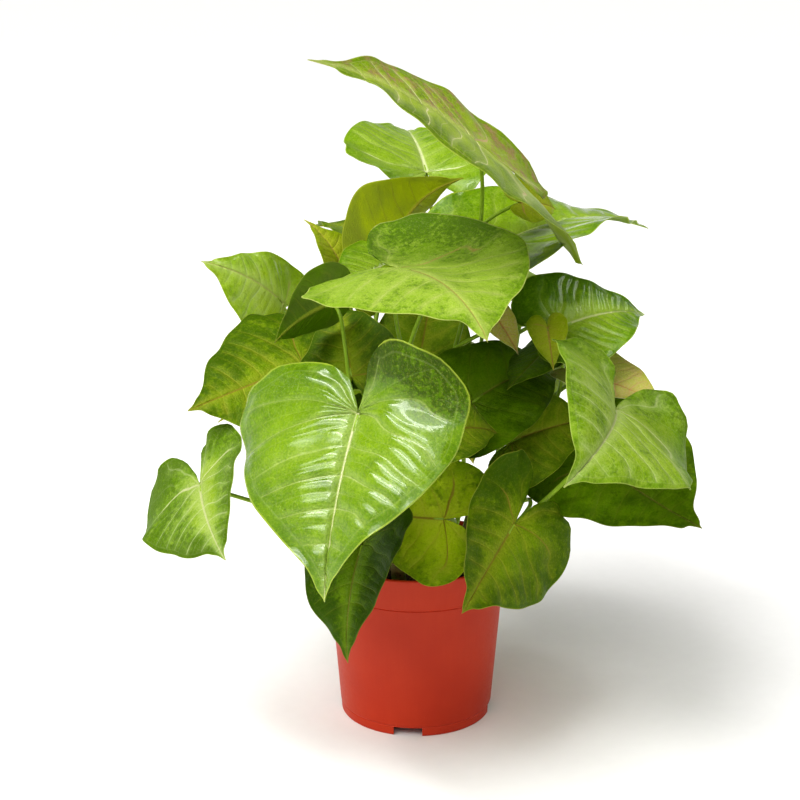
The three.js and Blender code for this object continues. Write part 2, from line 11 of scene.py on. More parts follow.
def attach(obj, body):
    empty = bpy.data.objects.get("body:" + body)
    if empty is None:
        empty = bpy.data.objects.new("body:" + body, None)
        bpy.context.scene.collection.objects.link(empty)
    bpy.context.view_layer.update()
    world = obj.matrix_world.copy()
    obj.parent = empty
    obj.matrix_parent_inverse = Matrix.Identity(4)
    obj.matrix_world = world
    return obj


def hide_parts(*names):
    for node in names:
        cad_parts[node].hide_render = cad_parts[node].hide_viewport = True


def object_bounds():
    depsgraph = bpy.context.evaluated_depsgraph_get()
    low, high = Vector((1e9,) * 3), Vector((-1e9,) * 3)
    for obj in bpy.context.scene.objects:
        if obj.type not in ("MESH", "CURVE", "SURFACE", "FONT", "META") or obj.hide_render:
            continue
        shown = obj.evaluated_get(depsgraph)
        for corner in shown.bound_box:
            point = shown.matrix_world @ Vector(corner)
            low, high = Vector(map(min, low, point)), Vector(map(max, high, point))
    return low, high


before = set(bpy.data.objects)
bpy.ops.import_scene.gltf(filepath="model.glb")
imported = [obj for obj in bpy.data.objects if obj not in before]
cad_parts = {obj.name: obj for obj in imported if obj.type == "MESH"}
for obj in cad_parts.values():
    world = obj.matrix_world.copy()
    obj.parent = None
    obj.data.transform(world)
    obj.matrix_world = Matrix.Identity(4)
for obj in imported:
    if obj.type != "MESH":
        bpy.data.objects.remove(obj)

CAD_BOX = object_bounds()

# ------------------------------------------------------------------ sizes, millimetres
MM = 0.001
POT_HEIGHT = 90
POT_RIM_RADIUS = 50
POT_BASE_RADIUS = 40
BODY_TOP_RADIUS = 46
BAND_BOTTOM = 72.4
BAND_BOTTOM_RADIUS = 47.1
POT_WALL = 1.2
POT_FLOOR = 5             # underside of the raised floor
POT_FLOOR_THICKNESS = 1.5
POT_EDGE = 0.35           # how far its corners are rounded
POT_SIDES = 192
NOTCH_WIDTH = 15
NOTCH_HEIGHT = 4.7
NOTCH_REACH = 16          # of the notch's cutter, across the foot ring
NOTCH_COUNT = 4
NOTCH_TURN = 264          # degrees, where the first notch faces
DRAIN_COUNT = 6
DRAIN_RADIUS = 4
DRAIN_RING = 25
DRAIN_CUT_DEPTH = 6
SOIL_TOP = 78
SOIL_DEPTH = 8
SOIL_RADIUS = 45.5
SOIL_SIDES = 120
SOIL_RINGS = 40
CRUMB_COUNT = 1050
STEM_ROOT = 62
STEM_RADIUS = 4.2
STEM_SIDES = 28
STEM_RINGS = 60
STALK_BASE_RADIUS = 1.4
STALK_END_RADIUS = 0.9
STALK_SIDES = 12
STALK_STEPS = 44
BLADE_THICKNESS = 0.45
MARGIN_WAVES = 5
LARGE_LEAF = 55           # a longer leaf gets the finer grid
FINE_GRID = (14, 18)      # columns for each lateral vein, and rows towards the margin
COARSE_GRID = (12, 12)

# Where each shoot stands: its foot, its top's height, and how far it leans
# (degrees) towards which side (degrees from +X).
STEMS = [
    dict(x=-26, y=-12, top=102, lean=8, turn=-155),
    dict(x=-8, y=-27, top=98, lean=8, turn=-107),
    dict(x=13, y=-25, top=104, lean=8, turn=-63),
    dict(x=28, y=-8, top=100, lean=8, turn=-16),
    dict(x=25, y=16, top=105, lean=8, turn=33),
    dict(x=3, y=29, top=102, lean=8, turn=84),
    dict(x=-21, y=20, top=104, lean=8, turn=136),
    dict(x=-8, y=0, top=122, lean=3, turn=180),
    dict(x=8, y=-6, top=130, lean=3, turn=-37),
    dict(x=4, y=11, top=118, lean=3, turn=70),
]


# ------------------------------------------------------------------------------- leaves
# Each leaf: `at`, where the stalk joins the blade; `tip`, its point; `roll`, degrees
# about the midrib; and for its left and right half `width` and `lobe` (against the usual
# outline), `fold` (degrees up from the midrib), `cup` (further degrees by the margin) and
# `lift` (of the lobes). `arch` bows the midrib, and `wave` and `phase` ruffle the margin.
# Its stalk starts at height `start` on its `stem` and bows by `bend`. `deep` and
# `deep_lobe` darken a half or its lobe, partly as a darker green and partly as
# painted shade, `flush` is how far its patches show, and `slot` names a material slot where
# that isn't the usual one of its skin, though nothing here reads it.
def leaf(name, skin, **settings):
    """A leaf's settings, with the usual ones where it has none of its own."""
    usual = dict(roll=0, width=(1, 1), lobe=(1, 1), fold=(10, 10), cup=(0, 0), lift=(0, 0),
                 arch=0.06, wave=1.5, phase=0, deep=(0, 0), deep_lobe=(0, 0), flush=(1, 1),
                 slot=None)
    return {"name": name, "skin": skin, **usual, **settings}


LEAVES = [
    leaf("leaf_01", "blush", at=(26, -33, 308), tip=(-49, -78, 349), roll=8, width=(1.25, 0.65),
         lobe=(1.9, 1.9), fold=(-8, 19), cup=(-12, 18), lift=(-0.06, -0.01), arch=0.05,
         flush=(0.1, 1.3), deep=(0.5, 0), wave=2.2, phase=67, stem=8, start=113, bend=(24, 48, 46)),
    leaf("leaf_02", "bright", at=(5, 95, 276), tip=(-7, 159, 292), width=(1.35, 1), lobe=(0.8, 1),
         fold=(20, 15), lift=(0.05, 0), arch=0.07, wave=2, phase=134, stem=10, start=100,
         bend=(8, 44, 18)),
    leaf("leaf_03", "thin", at=(-13, 55, 236), tip=(25, 65, 277), roll=50, width=(1, 1.2),
         lobe=(1, 1.4), fold=(10, 25), cup=(0, 5), lift=(0, 0.1), arch=0.19, phase=201, stem=6,
         start=90, bend=(-30, -46, 18)),
    leaf("leaf_04", "yellow", at=(-36, 50, 217), tip=(-61, 61, 255), roll=5, cup=(-5, 0), arch=0.11,
         wave=0.8, phase=268, stem=8, start=84, bend=(2, -4, 6)),
    leaf("leaf_05", "glossy", at=(43, 14, 250), tip=(126, 70, 249), width=(0.9, 0.95),
         lobe=(0.95, 1.05), fold=(10, 0), cup=(20, 15), lift=(-0.05, -0.1), arch=0.09, wave=2.2,
         phase=335, stem=5, start=93, bend=(6, -4, 16)),
    leaf("leaf_06", "yellow", at=(53, 15, 271), tip=(72, 32, 265), roll=-45, width=(1.05, 1),
         fold=(20, 10), cup=(5, 0), arch=0.07, wave=0.8, phase=42, stem=8, start=110,
         bend=(-42, -38, 8)),
    leaf("leaf_07", "matte", at=(-8, -54, 250), tip=(31, -126, 231), roll=25, width=(1.35, 1.05),
         lobe=(2.25, 0.65), fold=(10, -35), cup=(60, -10), lift=(0.1, -0.05), arch=0.09,
         deep=(0.1, 0), deep_lobe=(1.3, 0), phase=109, stem=9, start=95, bend=(12, 28, 4)),
    # leaf_08's skin is lightened as painted light.
    leaf("leaf_08", "fresh_painted_light", at=(-71, 32, 215), tip=(-109, -4, 244), roll=50, width=(1.1, 0.7),
         lobe=(1, 1.4), fold=(-30, 15), cup=(5, 5), lift=(0, 0.25), arch=0.08, deep=(0.3, 0.3),
         phase=176, stem=8, start=93, bend=(12, -22, 30)),
    leaf("leaf_09", "dull", at=(-57, -27, 196), tip=(-111, -56, 180), roll=35, width=(1.25, 1.35),
         lobe=(1, 0.85), fold=(-10, 0), cup=(-5, -25), lift=(0, -0.05), arch=0.01, deep=(0.2, 1.2),
         deep_lobe=(0.8, 0.8), slot="leaf_dark", wave=2, phase=243, stem=1, start=84,
         bend=(12, 16, 10)),
    leaf("leaf_10", "dark", at=(-42, -35, 229), tip=(-68, -61, 215), roll=-70, fold=(15, 15),
         cup=(0, 5), arch=0.07, deep=(0.4, 0.4), wave=0.8, phase=310, stem=9, start=88,
         bend=(-30, -36, 8)),
    leaf("leaf_11", "dull", at=(-32, -38, 193), tip=(-40, 0, 223), roll=20, width=(1, 1.05),
         fold=(5, 10), arch=0.03, deep=(1.6, 1.6), phase=17, stem=8, start=97, bend=(12, -16, 16)),
    leaf("leaf_12", "lime", at=(-26, -118, 196), tip=(-40, -158, 122), roll=-15, width=(1.2, 1.4),
         lobe=(1, 0.8), fold=(20, 15), cup=(-55, -30), lift=(0.5, 0.1), arch=0.05,
         deep_lobe=(1.5, 0.2), wave=1.8, phase=84, stem=9, start=96, bend=(-2, 0, -2)),
    leaf("leaf_13", "glossy", at=(-48, -66, 190), tip=(-80, -88, 167), roll=-10, width=(1, 1.2),
         fold=(10, 20), cup=(0, 5), arch=0.18, wave=2, phase=151, stem=1, start=84,
         bend=(8, 0, -8)),
    leaf("leaf_14", "silver", at=(-105, -64, 145), tip=(-89, -104, 121), roll=-55,
         width=(1.15, 1.5), lobe=(1.5, 1.8), fold=(0, 5), cup=(5, -10), lift=(0.05, 0.1), arch=0.07,
         deep=(0.9, 1.5), deep_lobe=(0.2, 0.9), wave=2.2, phase=218, stem=1, start=96,
         bend=(24, 18, -30)),
    leaf("leaf_15", "dark", at=(-26, -77, 119), tip=(-32, -114, 74), roll=-30, width=(1, 1.05),
         fold=(10, 5), cup=(0, -10), arch=0.07, deep=(1.9, 1.9), phase=285, stem=2, start=93,
         bend=(-10, -4, -8)),
    leaf("leaf_16", "olive", at=(13, -73, 131), tip=(-29, -53, 130), roll=85, width=(1.25, 1.1),
         lobe=(0.95, 1.25), fold=(15, 0), cup=(5, -10), lift=(0, -0.1), arch=0.1, deep=(0.25, 0.25),
         phase=352, stem=3, start=98, bend=(-2, -4, -2)),
    leaf("leaf_17", "dull", at=(47, -75, 129), tip=(21, -124, 103), roll=45, width=(1.15, 0.9),
         lobe=(1.35, 1.4), fold=(-10, 15), cup=(-20, 15), lift=(0.05, 0.1), arch=-0.01,
         deep=(0.7, 0.6), deep_lobe=(0, 1.2), wave=2, phase=59, stem=3, start=93,
         bend=(42, 12, 26)),
    leaf("leaf_18", "dark", at=(28, -31, 178), tip=(75, 7, 182), roll=-25, width=(0.95, 1),
         lobe=(1, 1.1), fold=(15, 5), cup=(0, -5), arch=0.15, phase=126, stem=3, start=100,
         bend=(4, 40, -2)),
    leaf("leaf_19", "dull", at=(48, -29, 157), tip=(90, -13, 164), roll=-50, width=(1.05, 1.05),
         fold=(15, 5), cup=(5, -5), arch=0.12, phase=193, stem=4, start=93, bend=(8, -14, 2)),
    leaf("leaf_20", "silver", at=(93, -81, 188), tip=(64, -146, 171), roll=55, width=(1.25, 1.1),
         lobe=(1.85, 1.2), fold=(20, 15), cup=(-20, -45), lift=(0.15, 0.15), arch=0.12,
         deep_lobe=(0.4, 0.2), wave=2.5, phase=260, stem=3, start=86, bend=(38, -6, 0)),
    leaf("leaf_21", "dark", at=(92, -20, 144), tip=(136, -82, 130), roll=-30, width=(1.1, 0.95),
         fold=(5, 5), cup=(0, 5), arch=-0.04, phase=327, stem=4, start=88, bend=(2, -2, -4)),
    leaf("leaf_22", "glossy", at=(72, -24, 215), tip=(117, 5, 215), roll=-35, width=(1.05, 1.05),
         arch=0.1, deep=(1.3, 0.1), wave=2, phase=34, stem=8, start=101, bend=(18, 50, 48)),
    leaf("leaf_23", "pale", at=(86, -22, 190), tip=(123, -43, 179), roll=-10, arch=0.02, wave=0.8,
         phase=101, stem=4, start=84, bend=(-6, 26, 20)),
    leaf("leaf_24", "pale", at=(38, -28, 222), tip=(50, -37, 204), roll=-20, width=(0.75, 0.75),
         fold=(10, 5), arch=0.03, slot="leaf_matte", wave=0.8, phase=168, stem=9, start=112,
         bend=(16, 46, 22)),
    leaf("leaf_25", "yellow", at=(64, -35, 217), tip=(66, -53, 200), roll=-10, width=(0.75, 0.75),
         arch=0.05, wave=0.8, phase=235, stem=9, start=109, bend=(-64, 20, 26)),
    leaf("leaf_26", "dull", at=(11, -74, 175), tip=(39, -55, 169), roll=-45, fold=(15, 10),
         arch=0.12, wave=0.8, phase=302, stem=9, start=91, bend=(8, 12, 16)),
    leaf("leaf_27", "matte", at=(61, 49, 215), tip=(118, 98, 186), roll=-10, phase=9, stem=5,
         start=95, bend=(12, -4, 2)),
    leaf("leaf_28", "glossy", at=(34, 111, 220), tip=(52, 160, 192), roll=5, phase=76, stem=5,
         start=99, bend=(-24, 16, 12)),
    leaf("leaf_29", "glossy", at=(-41, 84, 212), tip=(-82, 112, 192), roll=10, phase=143, stem=6,
         start=90, bend=(-2, -12, 4)),
    leaf("leaf_30", "dull", at=(50, 89, 168), tip=(84, 146, 132), roll=-5, phase=210, stem=10,
         start=106, bend=(2, 0, 4)),
    leaf("leaf_31", "dark", at=(-18, 97, 172), tip=(-38, 156, 134), roll=10, phase=277, stem=10,
         start=106, bend=(26, -28, 16)),
    leaf("leaf_32", "dull", at=(-62, 40, 160), tip=(-112, 72, 138), roll=5, phase=344, stem=7,
         start=88, bend=(0, -12, 10)),
    leaf("leaf_33", "dark", at=(76, 44, 150), tip=(122, 78, 122), roll=-5, phase=51, stem=5,
         start=84, bend=(4, -2, -2)),
    leaf("leaf_34", "dull", at=(22, 68, 132), tip=(34, 124, 98), phase=118, stem=6, start=85,
         bend=(-12, -8, -8)),
    leaf("leaf_35", "dark", at=(-34, 58, 122), tip=(-56, 104, 90), phase=185, stem=7, start=96,
         bend=(-26, 0, -18)),
    leaf("leaf_36", "glossy", at=(-15, 17, 239), tip=(-40, -17, 235), roll=10, lobe=(1, 1.1),
         lift=(0, 0.05), arch=-0.01, wave=0.8, phase=252, stem=8, start=93, bend=(-48, 0, 36)),
    leaf("leaf_37", "dark", at=(67, -19, 205), tip=(44, -48, 189), roll=-10, width=(1.05, 0.95),
         fold=(0, 0), cup=(-10, -15), arch=0, wave=0.8, phase=319, stem=5, start=84,
         bend=(8, -6, 6)),
    leaf("leaf_38", "dull", at=(2, 56, 180), tip=(12, 86, 225), arch=0.03, wave=0.8, phase=26,
         stem=6, start=93, bend=(18, -14, -4)),
    leaf("leaf_39", "dull", at=(-26, 86, 240), tip=(-60, 118, 242), roll=-5, width=(0.95, 0.95),
         phase=93, stem=10, start=107, bend=(-14, 4, 2)),
]


# ---------------------------------------------------------------------- material helpers
# Settings that many nodes share.
MIX = dict(data_type="RGBA", out=2)
SMOOTH = dict(interpolation_type="SMOOTHSTEP")
TIMES = dict(operation="MULTIPLY")
PLUS = dict(operation="ADD")
MINUS = dict(operation="SUBTRACT")
TIMES_PLUS = dict(operation="MULTIPLY_ADD")
LARGER = dict(operation="MAXIMUM")


def colour(hex_code):
    """Linear RGBA of an sRGB hex value."""
    values = [int(hex_code[i:i + 2], 16) / 255 for i in (1, 3, 5)]
    linear = [v / 12.92 if v <= 0.04045 else ((v + 0.055) / 1.055) ** 2.4 for v in values]
    return (*linear, 1)


def add(tree, kind, inputs=None, out=0, **settings):
    """Adds a node with its settings; each input is a value or another node's output."""
    made = tree.nodes.new("ShaderNode" + kind)
    for name, value in settings.items():
        setattr(made, name, value)
    for key, value in (inputs or {}).items():
        if isinstance(value, bpy.types.NodeSocket):
            tree.links.new(value, made.inputs[key])
        else:
            made.inputs[key].default_value = value
    return made.outputs[out] if made.outputs else made


def new_material(name):
    """An empty material and its node tree."""
    material = bpy.data.materials.new(name)
    material.use_nodes = True
    material.node_tree.nodes.clear()
    return material, material.node_tree


def per_mm(size):
    """Texture scale, in coordinates of metres, for features of `size` millimetres."""
    return 1 / (size * MM)


# ------------------------------------------------------------------------- leaf materials
# Some halves and lobes are darkened with painted shade, and one skin is lightened with painted
# light.
# The living blade: a waxy skin over green flesh, so it is glossy or satin, never
# metallic, with an IOR near 1.45, and lets some yellow-green light through. Young leaves
# are lime and shiny, old ones deep green, and most are mottled, with flushes of pink or
# brown where they are youngest. Veins are pale, and a smooth band borders the blade
# outside the vein that runs along the margin.
#
# A skin's `blade` turns to `deep`, a darker green, in clouds, towards the margin
# and where a half or lobe is set dark as painted shade; over them lie `patch` and granular
# `shade`, the colour of both the dark mottling and the painted shade. `vein`, `rib` and
# `margin` lie on top, `under` is the lower face, and `glow` colours the light let through,
# whose share is `thin`. `rough` and `specular` are the flesh's, and `coat` is the clear wax,
# which is `deep_coat` where the painted shade and darker green are strongest.
# `halo`, `net` and the names in _show are how strongly each layer covers those below it.
# `quilt` is how far the blade bulges between its veins and `dents` how deep its wrinkles
# are, both in millimetres. `rib_width` is in half-widths of the midrib, and `band`, the
# smooth band, in leaf lengths.
USUAL_SKIN = dict(
    slot="leaf_dull", blade="#6c8a00", deep="#4e6a00", patch="#80980a", shade="#385600",
    vein="#b4b03c", rib="#8a7430", margin="#a4a844", under="#829a28", glow="#b8d000",
    rough=0.4, coat=0.0, specular=0.1, quilt=0.6, vein_show=0.3, halo=0.28, net=0.08,
    patch_show=0.6, shade_show=0.55, rib_width=0.9, rib_show=0.7, thin=0.18, band=0.03, dents=0.3,
    deep_coat=0.08)
SKINS = {name: {**USUAL_SKIN, **changes} for name, changes in {
    "lime": dict(slot="leaf_glossy", blade="#789a04", deep="#587c00", patch="#94b410",
                 shade="#304600", vein="#ccd888", rib="#d8d8a0", margin="#b0c044",
                 rough=0.24, coat=0.9, specular=0.2, halo=0.18, net=0.05, quilt=1.4, vein_show=0.4,
                 patch_show=0.25, shade_show=0.25, rib_width=1.1, band=0.05, dents=0.5),
    "glossy": dict(slot="leaf_glossy", blade="#84a408", deep="#5c8200", patch="#90b61a",
                   shade="#3c6400", vein="#bcce64", rib="#d0d498", margin="#acbe44",
                   rough=0.25, coat=0.8, deep_coat=0.8, specular=0.2, quilt=1.1, net=0.15,
                   rib_width=1.1, patch_show=0.4, band=0.04),
    "bright": dict(slot="leaf_glossy", blade="#86a41c", deep="#688c08", patch="#9cbe2c",
                   shade="#4c7400", vein="#c8d880", rib="#e0e2b4", margin="#b0c04a",
                   rough=0.32, coat=0.4, specular=0.25, quilt=0.8, net=0.1, rib_width=1.8,
                   patch_show=0.3, shade_show=0.4),
    "matte": dict(slot="leaf_matte", blade="#96b23a", deep="#7a9a20", patch="#a4bc48",
                  shade="#48680a", vein="#c4c87c", rib="#a07a48", margin="#c0c674",
                  under="#96ac54", rough=0.42, halo=0.35, glow="#b8d030", shade_show=0.7,
                  rib_width=0.8, rib_show=0.6),
    "blush": dict(slot="leaf_matte", blade="#9ab01e", deep="#78940c", patch="#9c7a56",
                  shade="#4c6410", vein="#dcd6a4", rib="#b8906c", margin="#a8b454",
                  under="#aab870", rough=0.36, quilt=0.8, vein_show=0.9, halo=0.3,
                  patch_show=0.8),
    "silver": dict(slot="leaf_matte", blade="#88a222", deep="#668810", patch="#90a83a",
                   shade="#48640c", vein="#c4ce92", rib="#c4c496", margin="#a8b85c",
                   under="#96ac54", specular=0.08, halo=0.3, glow="#b0cc30", shade_show=0.8,
                   rib_width=1.1, rib_show=0.6, vein_show=0.5),
    # Painted light: greens lighter than the leaf's own, for a leaf that gets little light.
    "fresh_painted_light": dict(slot="leaf_glossy", blade="#c4dc3c", deep="#a8c824", patch="#ccdf60",
                  shade="#6c8c10", vein="#dce4a4", rib="#ccc084", margin="#c0cc60",
                  glow="#d0ea38", rough=0.25, coat=0.8, specular=0.4, quilt=0.5, thin=0.35,
                  dents=0.2, halo=0.4, shade_show=0.5, vein_show=0.5),
    "olive": dict(blade="#a8c006", deep="#7c9a00", patch="#b8ca24", shade="#446400",
                  rib="#7e5c26", thin=0.22, halo=0.4, shade_show=0.7, vein_show=0.5),
    "yellow": dict(blade="#a0b208", deep="#869a02", patch="#b0ba34", shade="#6c8000",
                   vein="#c4bc54", rib="#b49054", margin="#b4b854", under="#a0ac38",
                   rough=0.42, shade_show=0.3),
    "pale": dict(blade="#c2c460", deep="#b0b444", patch="#d0b080", shade="#8c9a30",
                 vein="#d4a07c", rib="#c0805c", margin="#ccccaa", under="#b8bc68",
                 rough=0.45, shade_show=0.2, vein_show=0.6, band=0.02),
    "thin": dict(blade="#a8b80c", deep="#94a602", patch="#b2be16", shade="#748400",
                 vein="#94922a", rib="#84841c", margin="#989c34", under="#86942a",
                 glow="#ccd000", quilt=0.3, net=0.06, halo=0.1, thin=0.45, shade_show=0.2),
    "dull": dict(),
    "dark": dict(slot="leaf_dark", blade="#688c00", deep="#4a6a00", patch="#7a9a10",
                 shade="#304c00", vein="#84902c", rib="#888240", margin="#7e8634",
                 under="#667c2c", glow="#88a800", rough=0.3, coat=0.05, vein_show=0.35,
                 halo=0.2),
}.items()}


def blade_coordinates(tree):
    """What the blade's mesh says of each point: its place on the flat leaf (metres), its
    distance to the nearest lateral vein (mm), to the midrib (rib half-widths) and to the
    margin, as a share of the smooth band's width, how dark it is set, partly as a darker
    green and partly as painted shade, and how flushed it is."""
    names = ("vein", "gap", "rib", "band", "deep", "flush")
    field = {name: add(tree, "Attribute", attribute_name=name, out=2) for name in names}
    place = add(tree, "Attribute", attribute_name="blade", out=1)
    field["place"] = place
    field["nearest"] = add(tree, "Math", {0: field["vein"]}, operation="ROUND")
    away = add(tree, "Math", {0: field["vein"], 1: field["nearest"]}, **MINUS)
    away = add(tree, "Math", {0: away}, operation="ABSOLUTE")
    away = add(tree, "Math", {0: away, 1: field["gap"]}, **TIMES)
    ragged = add(tree, "TexNoise", {"Vector": place, "Scale": per_mm(3), "Detail": 2.0})
    ragged = add(tree, "Math", {0: ragged, 1: 0.6, 2: -0.3}, **TIMES_PLUS)
    field["off_vein"] = add(tree, "Math", {0: away, 1: ragged}, **PLUS)
    field["inside"] = add(tree, "MapRange", {0: field["band"], 1: 0.7, 2: 1.3}, **SMOOTH)
    field["broad"] = add(tree, "TexNoise", {"Vector": place, "Scale": per_mm(24), "Detail": 3.0})
    uneven = add(tree, "Math", {0: field["broad"], 1: 14.0, 2: -7.0}, **TIMES_PLUS)
    uneven = add(tree, "Math", {0: field["band"], 1: uneven}, **PLUS)
    field["margin"] = add(tree, "MapRange", {0: uneven, 1: 7.0, 2: -1.0}, **SMOOTH)
    return field


def vein_lines(tree, field, width):
    """The laterals, fading outwards, with a weaker one between each two, and the vein
    along the margin."""
    strength = add(tree, "TexWhiteNoise", {"W": field["nearest"]}, noise_dimensions="1D")
    strength = add(tree, "MapRange", {0: strength, 3: 0.55, 4: 1.0})
    faded = add(tree, "MapRange", {0: field["margin"], 3: 1.0, 4: 0.5})
    strength = add(tree, "Math", {0: strength, 1: faded}, **TIMES)
    main = add(tree, "MapRange", {0: field["off_vein"], 1: width, 2: 0.1}, **SMOOTH)
    half_way = add(tree, "Math", {0: field["gap"], 1: 0.5}, **TIMES)
    half_way = add(tree, "Math", {0: half_way, 1: field["off_vein"]}, **MINUS)
    lesser = add(tree, "MapRange", {0: half_way, 1: 0.8 * width, 2: 0.1, 4: 0.3}, **SMOOTH)
    lateral = add(tree, "Math", {0: main, 1: lesser}, **LARGER)
    for share in (strength, field["inside"]):
        lateral = add(tree, "Math", {0: lateral, 1: share}, **TIMES)
    beside = add(tree, "Math", {0: field["band"], 1: 1.0}, **MINUS)
    beside = add(tree, "Math", {0: beside}, operation="ABSOLUTE")
    beside = add(tree, "MapRange", {0: beside, 1: 0.12, 2: 0.02, 4: 0.2}, **SMOOTH)
    return add(tree, "Math", {0: lateral, 1: beside}, **LARGER)


def basal_veins(tree, field):
    """The strong vein that runs from the stalk into each lobe."""
    chosen = add(tree, "Math", {0: field["nearest"], 1: -1.0, 2: 0.1}, operation="COMPARE")
    line = add(tree, "MapRange", {0: field["off_vein"], 1: 0.5, 2: 0.1}, **SMOOTH)
    faded = add(tree, "MapRange", {0: field["margin"], 1: 0.4, 2: 0.0}, **SMOOTH)
    for share in (chosen, faded):
        line = add(tree, "Math", {0: line, 1: share}, **TIMES)
    return line


def fine_net(tree, field, size):
    """The veinlets' net, of meshes `size` millimetres wide."""
    place = field["place"]
    shift = add(tree, "TexNoise", {"Vector": place, "Scale": per_mm(2), "Detail": 2.0}, out=1)
    shift = add(tree, "VectorMath", {0: shift, 1: (0.5, 0.5, 0.5)}, **MINUS)
    shift = add(tree, "VectorMath", {0: shift, 3: 1.8 * MM}, operation="SCALE")
    moved = add(tree, "VectorMath", {0: place, 1: shift}, **PLUS)
    cells = add(tree, "TexVoronoi", {"Vector": moved, "Scale": per_mm(size)},
                feature="DISTANCE_TO_EDGE")
    net = add(tree, "MapRange", {0: cells, 1: 0.14, 2: 0.0}, **SMOOTH)
    # The net fades under painted shade and the darker green.
    pale = add(tree, "MapRange", {0: field["deep"], 1: 0.0, 2: 1.0, 3: 1.0, 4: 0.3})
    for share in (pale, field["inside"]):
        net = add(tree, "Math", {0: net, 1: share}, **TIMES)
    return net


def vein_halo(tree, field):
    """The paler flesh beside the laterals, in broken streaks, and beside the midrib."""
    beside = add(tree, "MapRange", {0: field["off_vein"], 1: 3.4, 2: 0.2}, **SMOOTH)
    broken = add(tree, "TexNoise", {"Vector": field["place"], "Scale": per_mm(9), "Detail": 4.0})
    broken = add(tree, "MapRange", {0: broken, 1: 0.38, 2: 0.62, 3: 0.25, 4: 1.0})
    within = add(tree, "MapRange", {0: field["band"], 1: 0.0, 2: 2.4}, **SMOOTH)
    for share in (broken, within):
        beside = add(tree, "Math", {0: beside, 1: share}, **TIMES)
    centre = add(tree, "MapRange", {0: field["rib"], 1: 9.0, 2: 1.0}, **SMOOTH)
    return add(tree, "Math", {0: beside, 1: centre}, **LARGER)


def darkening(tree, field, halo):
    """Granular dark green between the veins, thickest towards the margin and a little
    thicker under painted shade.
    """
    grain = add(tree, "TexNoise", {"Vector": field["place"], "Scale": per_mm(2.6),
                                   "Detail": 6.0, "Roughness": 0.75})
    grain = add(tree, "Math", {0: grain, 1: 1.7, 2: -0.35}, **TIMES_PLUS)
    amount = grain
    for cause, share in ((field["broad"], 0.9), (field["margin"], 0.12),
                         (field["deep"], 0.13), (halo, -0.14)):
        amount = add(tree, "Math", {0: cause, 1: share, 2: amount}, **TIMES_PLUS)
    return add(tree, "MapRange", {0: amount, 1: 0.98, 2: 1.26}, **SMOOTH)


def flushes(tree, field, halo):
    """Patches of another colour between the veins, away from the midrib."""
    spots = add(tree, "TexNoise", {"Vector": field["place"], "Scale": per_mm(9),
                                   "Detail": 8.0, "Roughness": 0.72})
    patches = add(tree, "MapRange", {0: spots, 1: 0.46, 2: 0.6}, **SMOOTH)
    clear = add(tree, "MapRange", {0: halo, 1: 1.0, 2: 0.3}, **SMOOTH)
    for share in (clear, field["flush"]):
        patches = add(tree, "Math", {0: patches, 1: share}, **TIMES)
    return patches


def blade_tone(tree, field, skin, line, net, halo, specks):
    """Colours of the upper face, from the flesh up to the veins, the margin and a few
    specks of dust, with painted shade laid over the halves and lobes that are set dark."""
    # Darker green in clouds and towards the margin, and painted shade where a half or lobe is set
    # dark.
    depth = add(tree, "Math", {0: field["margin"], 1: 0.3, 2: field["broad"]}, **TIMES_PLUS)
    depth = add(tree, "Math", {0: field["deep"], 1: 0.5, 2: depth}, **TIMES_PLUS)
    depth = add(tree, "MapRange", {0: depth, 1: 0.45, 2: 0.85}, **SMOOTH)
    tone = add(tree, "Mix", {0: depth, 6: colour(skin["blade"]), 7: colour(skin["deep"])}, **MIX)
    dark = darkening(tree, field, halo)
    # Halos dim under painted shade and the darker green.
    lit_halo = add(tree, "MapRange", {0: field["deep"], 1: 0.2, 2: 1.2, 3: 1.0, 4: 0.35})
    lit_halo = add(tree, "Math", {0: halo, 1: lit_halo}, **TIMES)
    # Painted shade: a granular dark cover, reaching as far as a half or lobe is set dark.
    painted_shade = add(tree, "Math", {0: dark, 1: 0.75, 2: 0.25}, **TIMES_PLUS)
    grown = add(tree, "MapRange", {0: field["deep"], 1: 0.1, 2: 1.0}, **SMOOTH)
    painted_shade = add(tree, "Math", {0: painted_shade, 1: grown}, **TIMES)
    layers = [
        (flushes(tree, field, halo), skin["patch_show"], skin["patch"]),
        (dark, skin["shade_show"], skin["shade"]),
        # painted shade, in the shade colour
        (painted_shade, 0.95, skin["shade"]),
        (lit_halo, skin["halo"], skin["vein"]),
        (net, skin["net"], skin["vein"]),
        (add(tree, "MapRange", {0: specks, 1: 0.48, 2: 0.66}, **SMOOTH), 0.45, skin["deep"]),
        (add(tree, "MapRange", {0: specks, 1: 0.5, 2: 0.34}, **SMOOTH), 0.25, skin["margin"]),
        (line, skin["vein_show"], skin["vein"]),
        (basal_veins(tree, field), skin["rib_show"], skin["rib"]),
        (add(tree, "MapRange", {0: field["rib"], 1: skin["rib_width"],
                                2: 0.4 * skin["rib_width"]}, **SMOOTH),
         skin["rib_show"], skin["rib"]),
        (add(tree, "MapRange", {0: field["band"], 1: 0.2, 2: 0.06}, **SMOOTH),
         0.6, skin["margin"]),
    ]
    for cover, strength, hex_code in layers:
        share = add(tree, "Math", {0: cover, 1: strength}, **TIMES)
        tone = add(tree, "Mix", {0: share, 6: tone, 7: colour(hex_code)}, **MIX)
    dust = add(tree, "TexVoronoi", {"Vector": field["place"], "Scale": per_mm(11)})
    dust = add(tree, "MapRange", {0: dust, 1: 0.035, 2: 0.02, 4: 0.8}, **SMOOTH)
    return add(tree, "Mix", {0: dust, 6: tone, 7: colour("#3c3a14")}, **MIX)


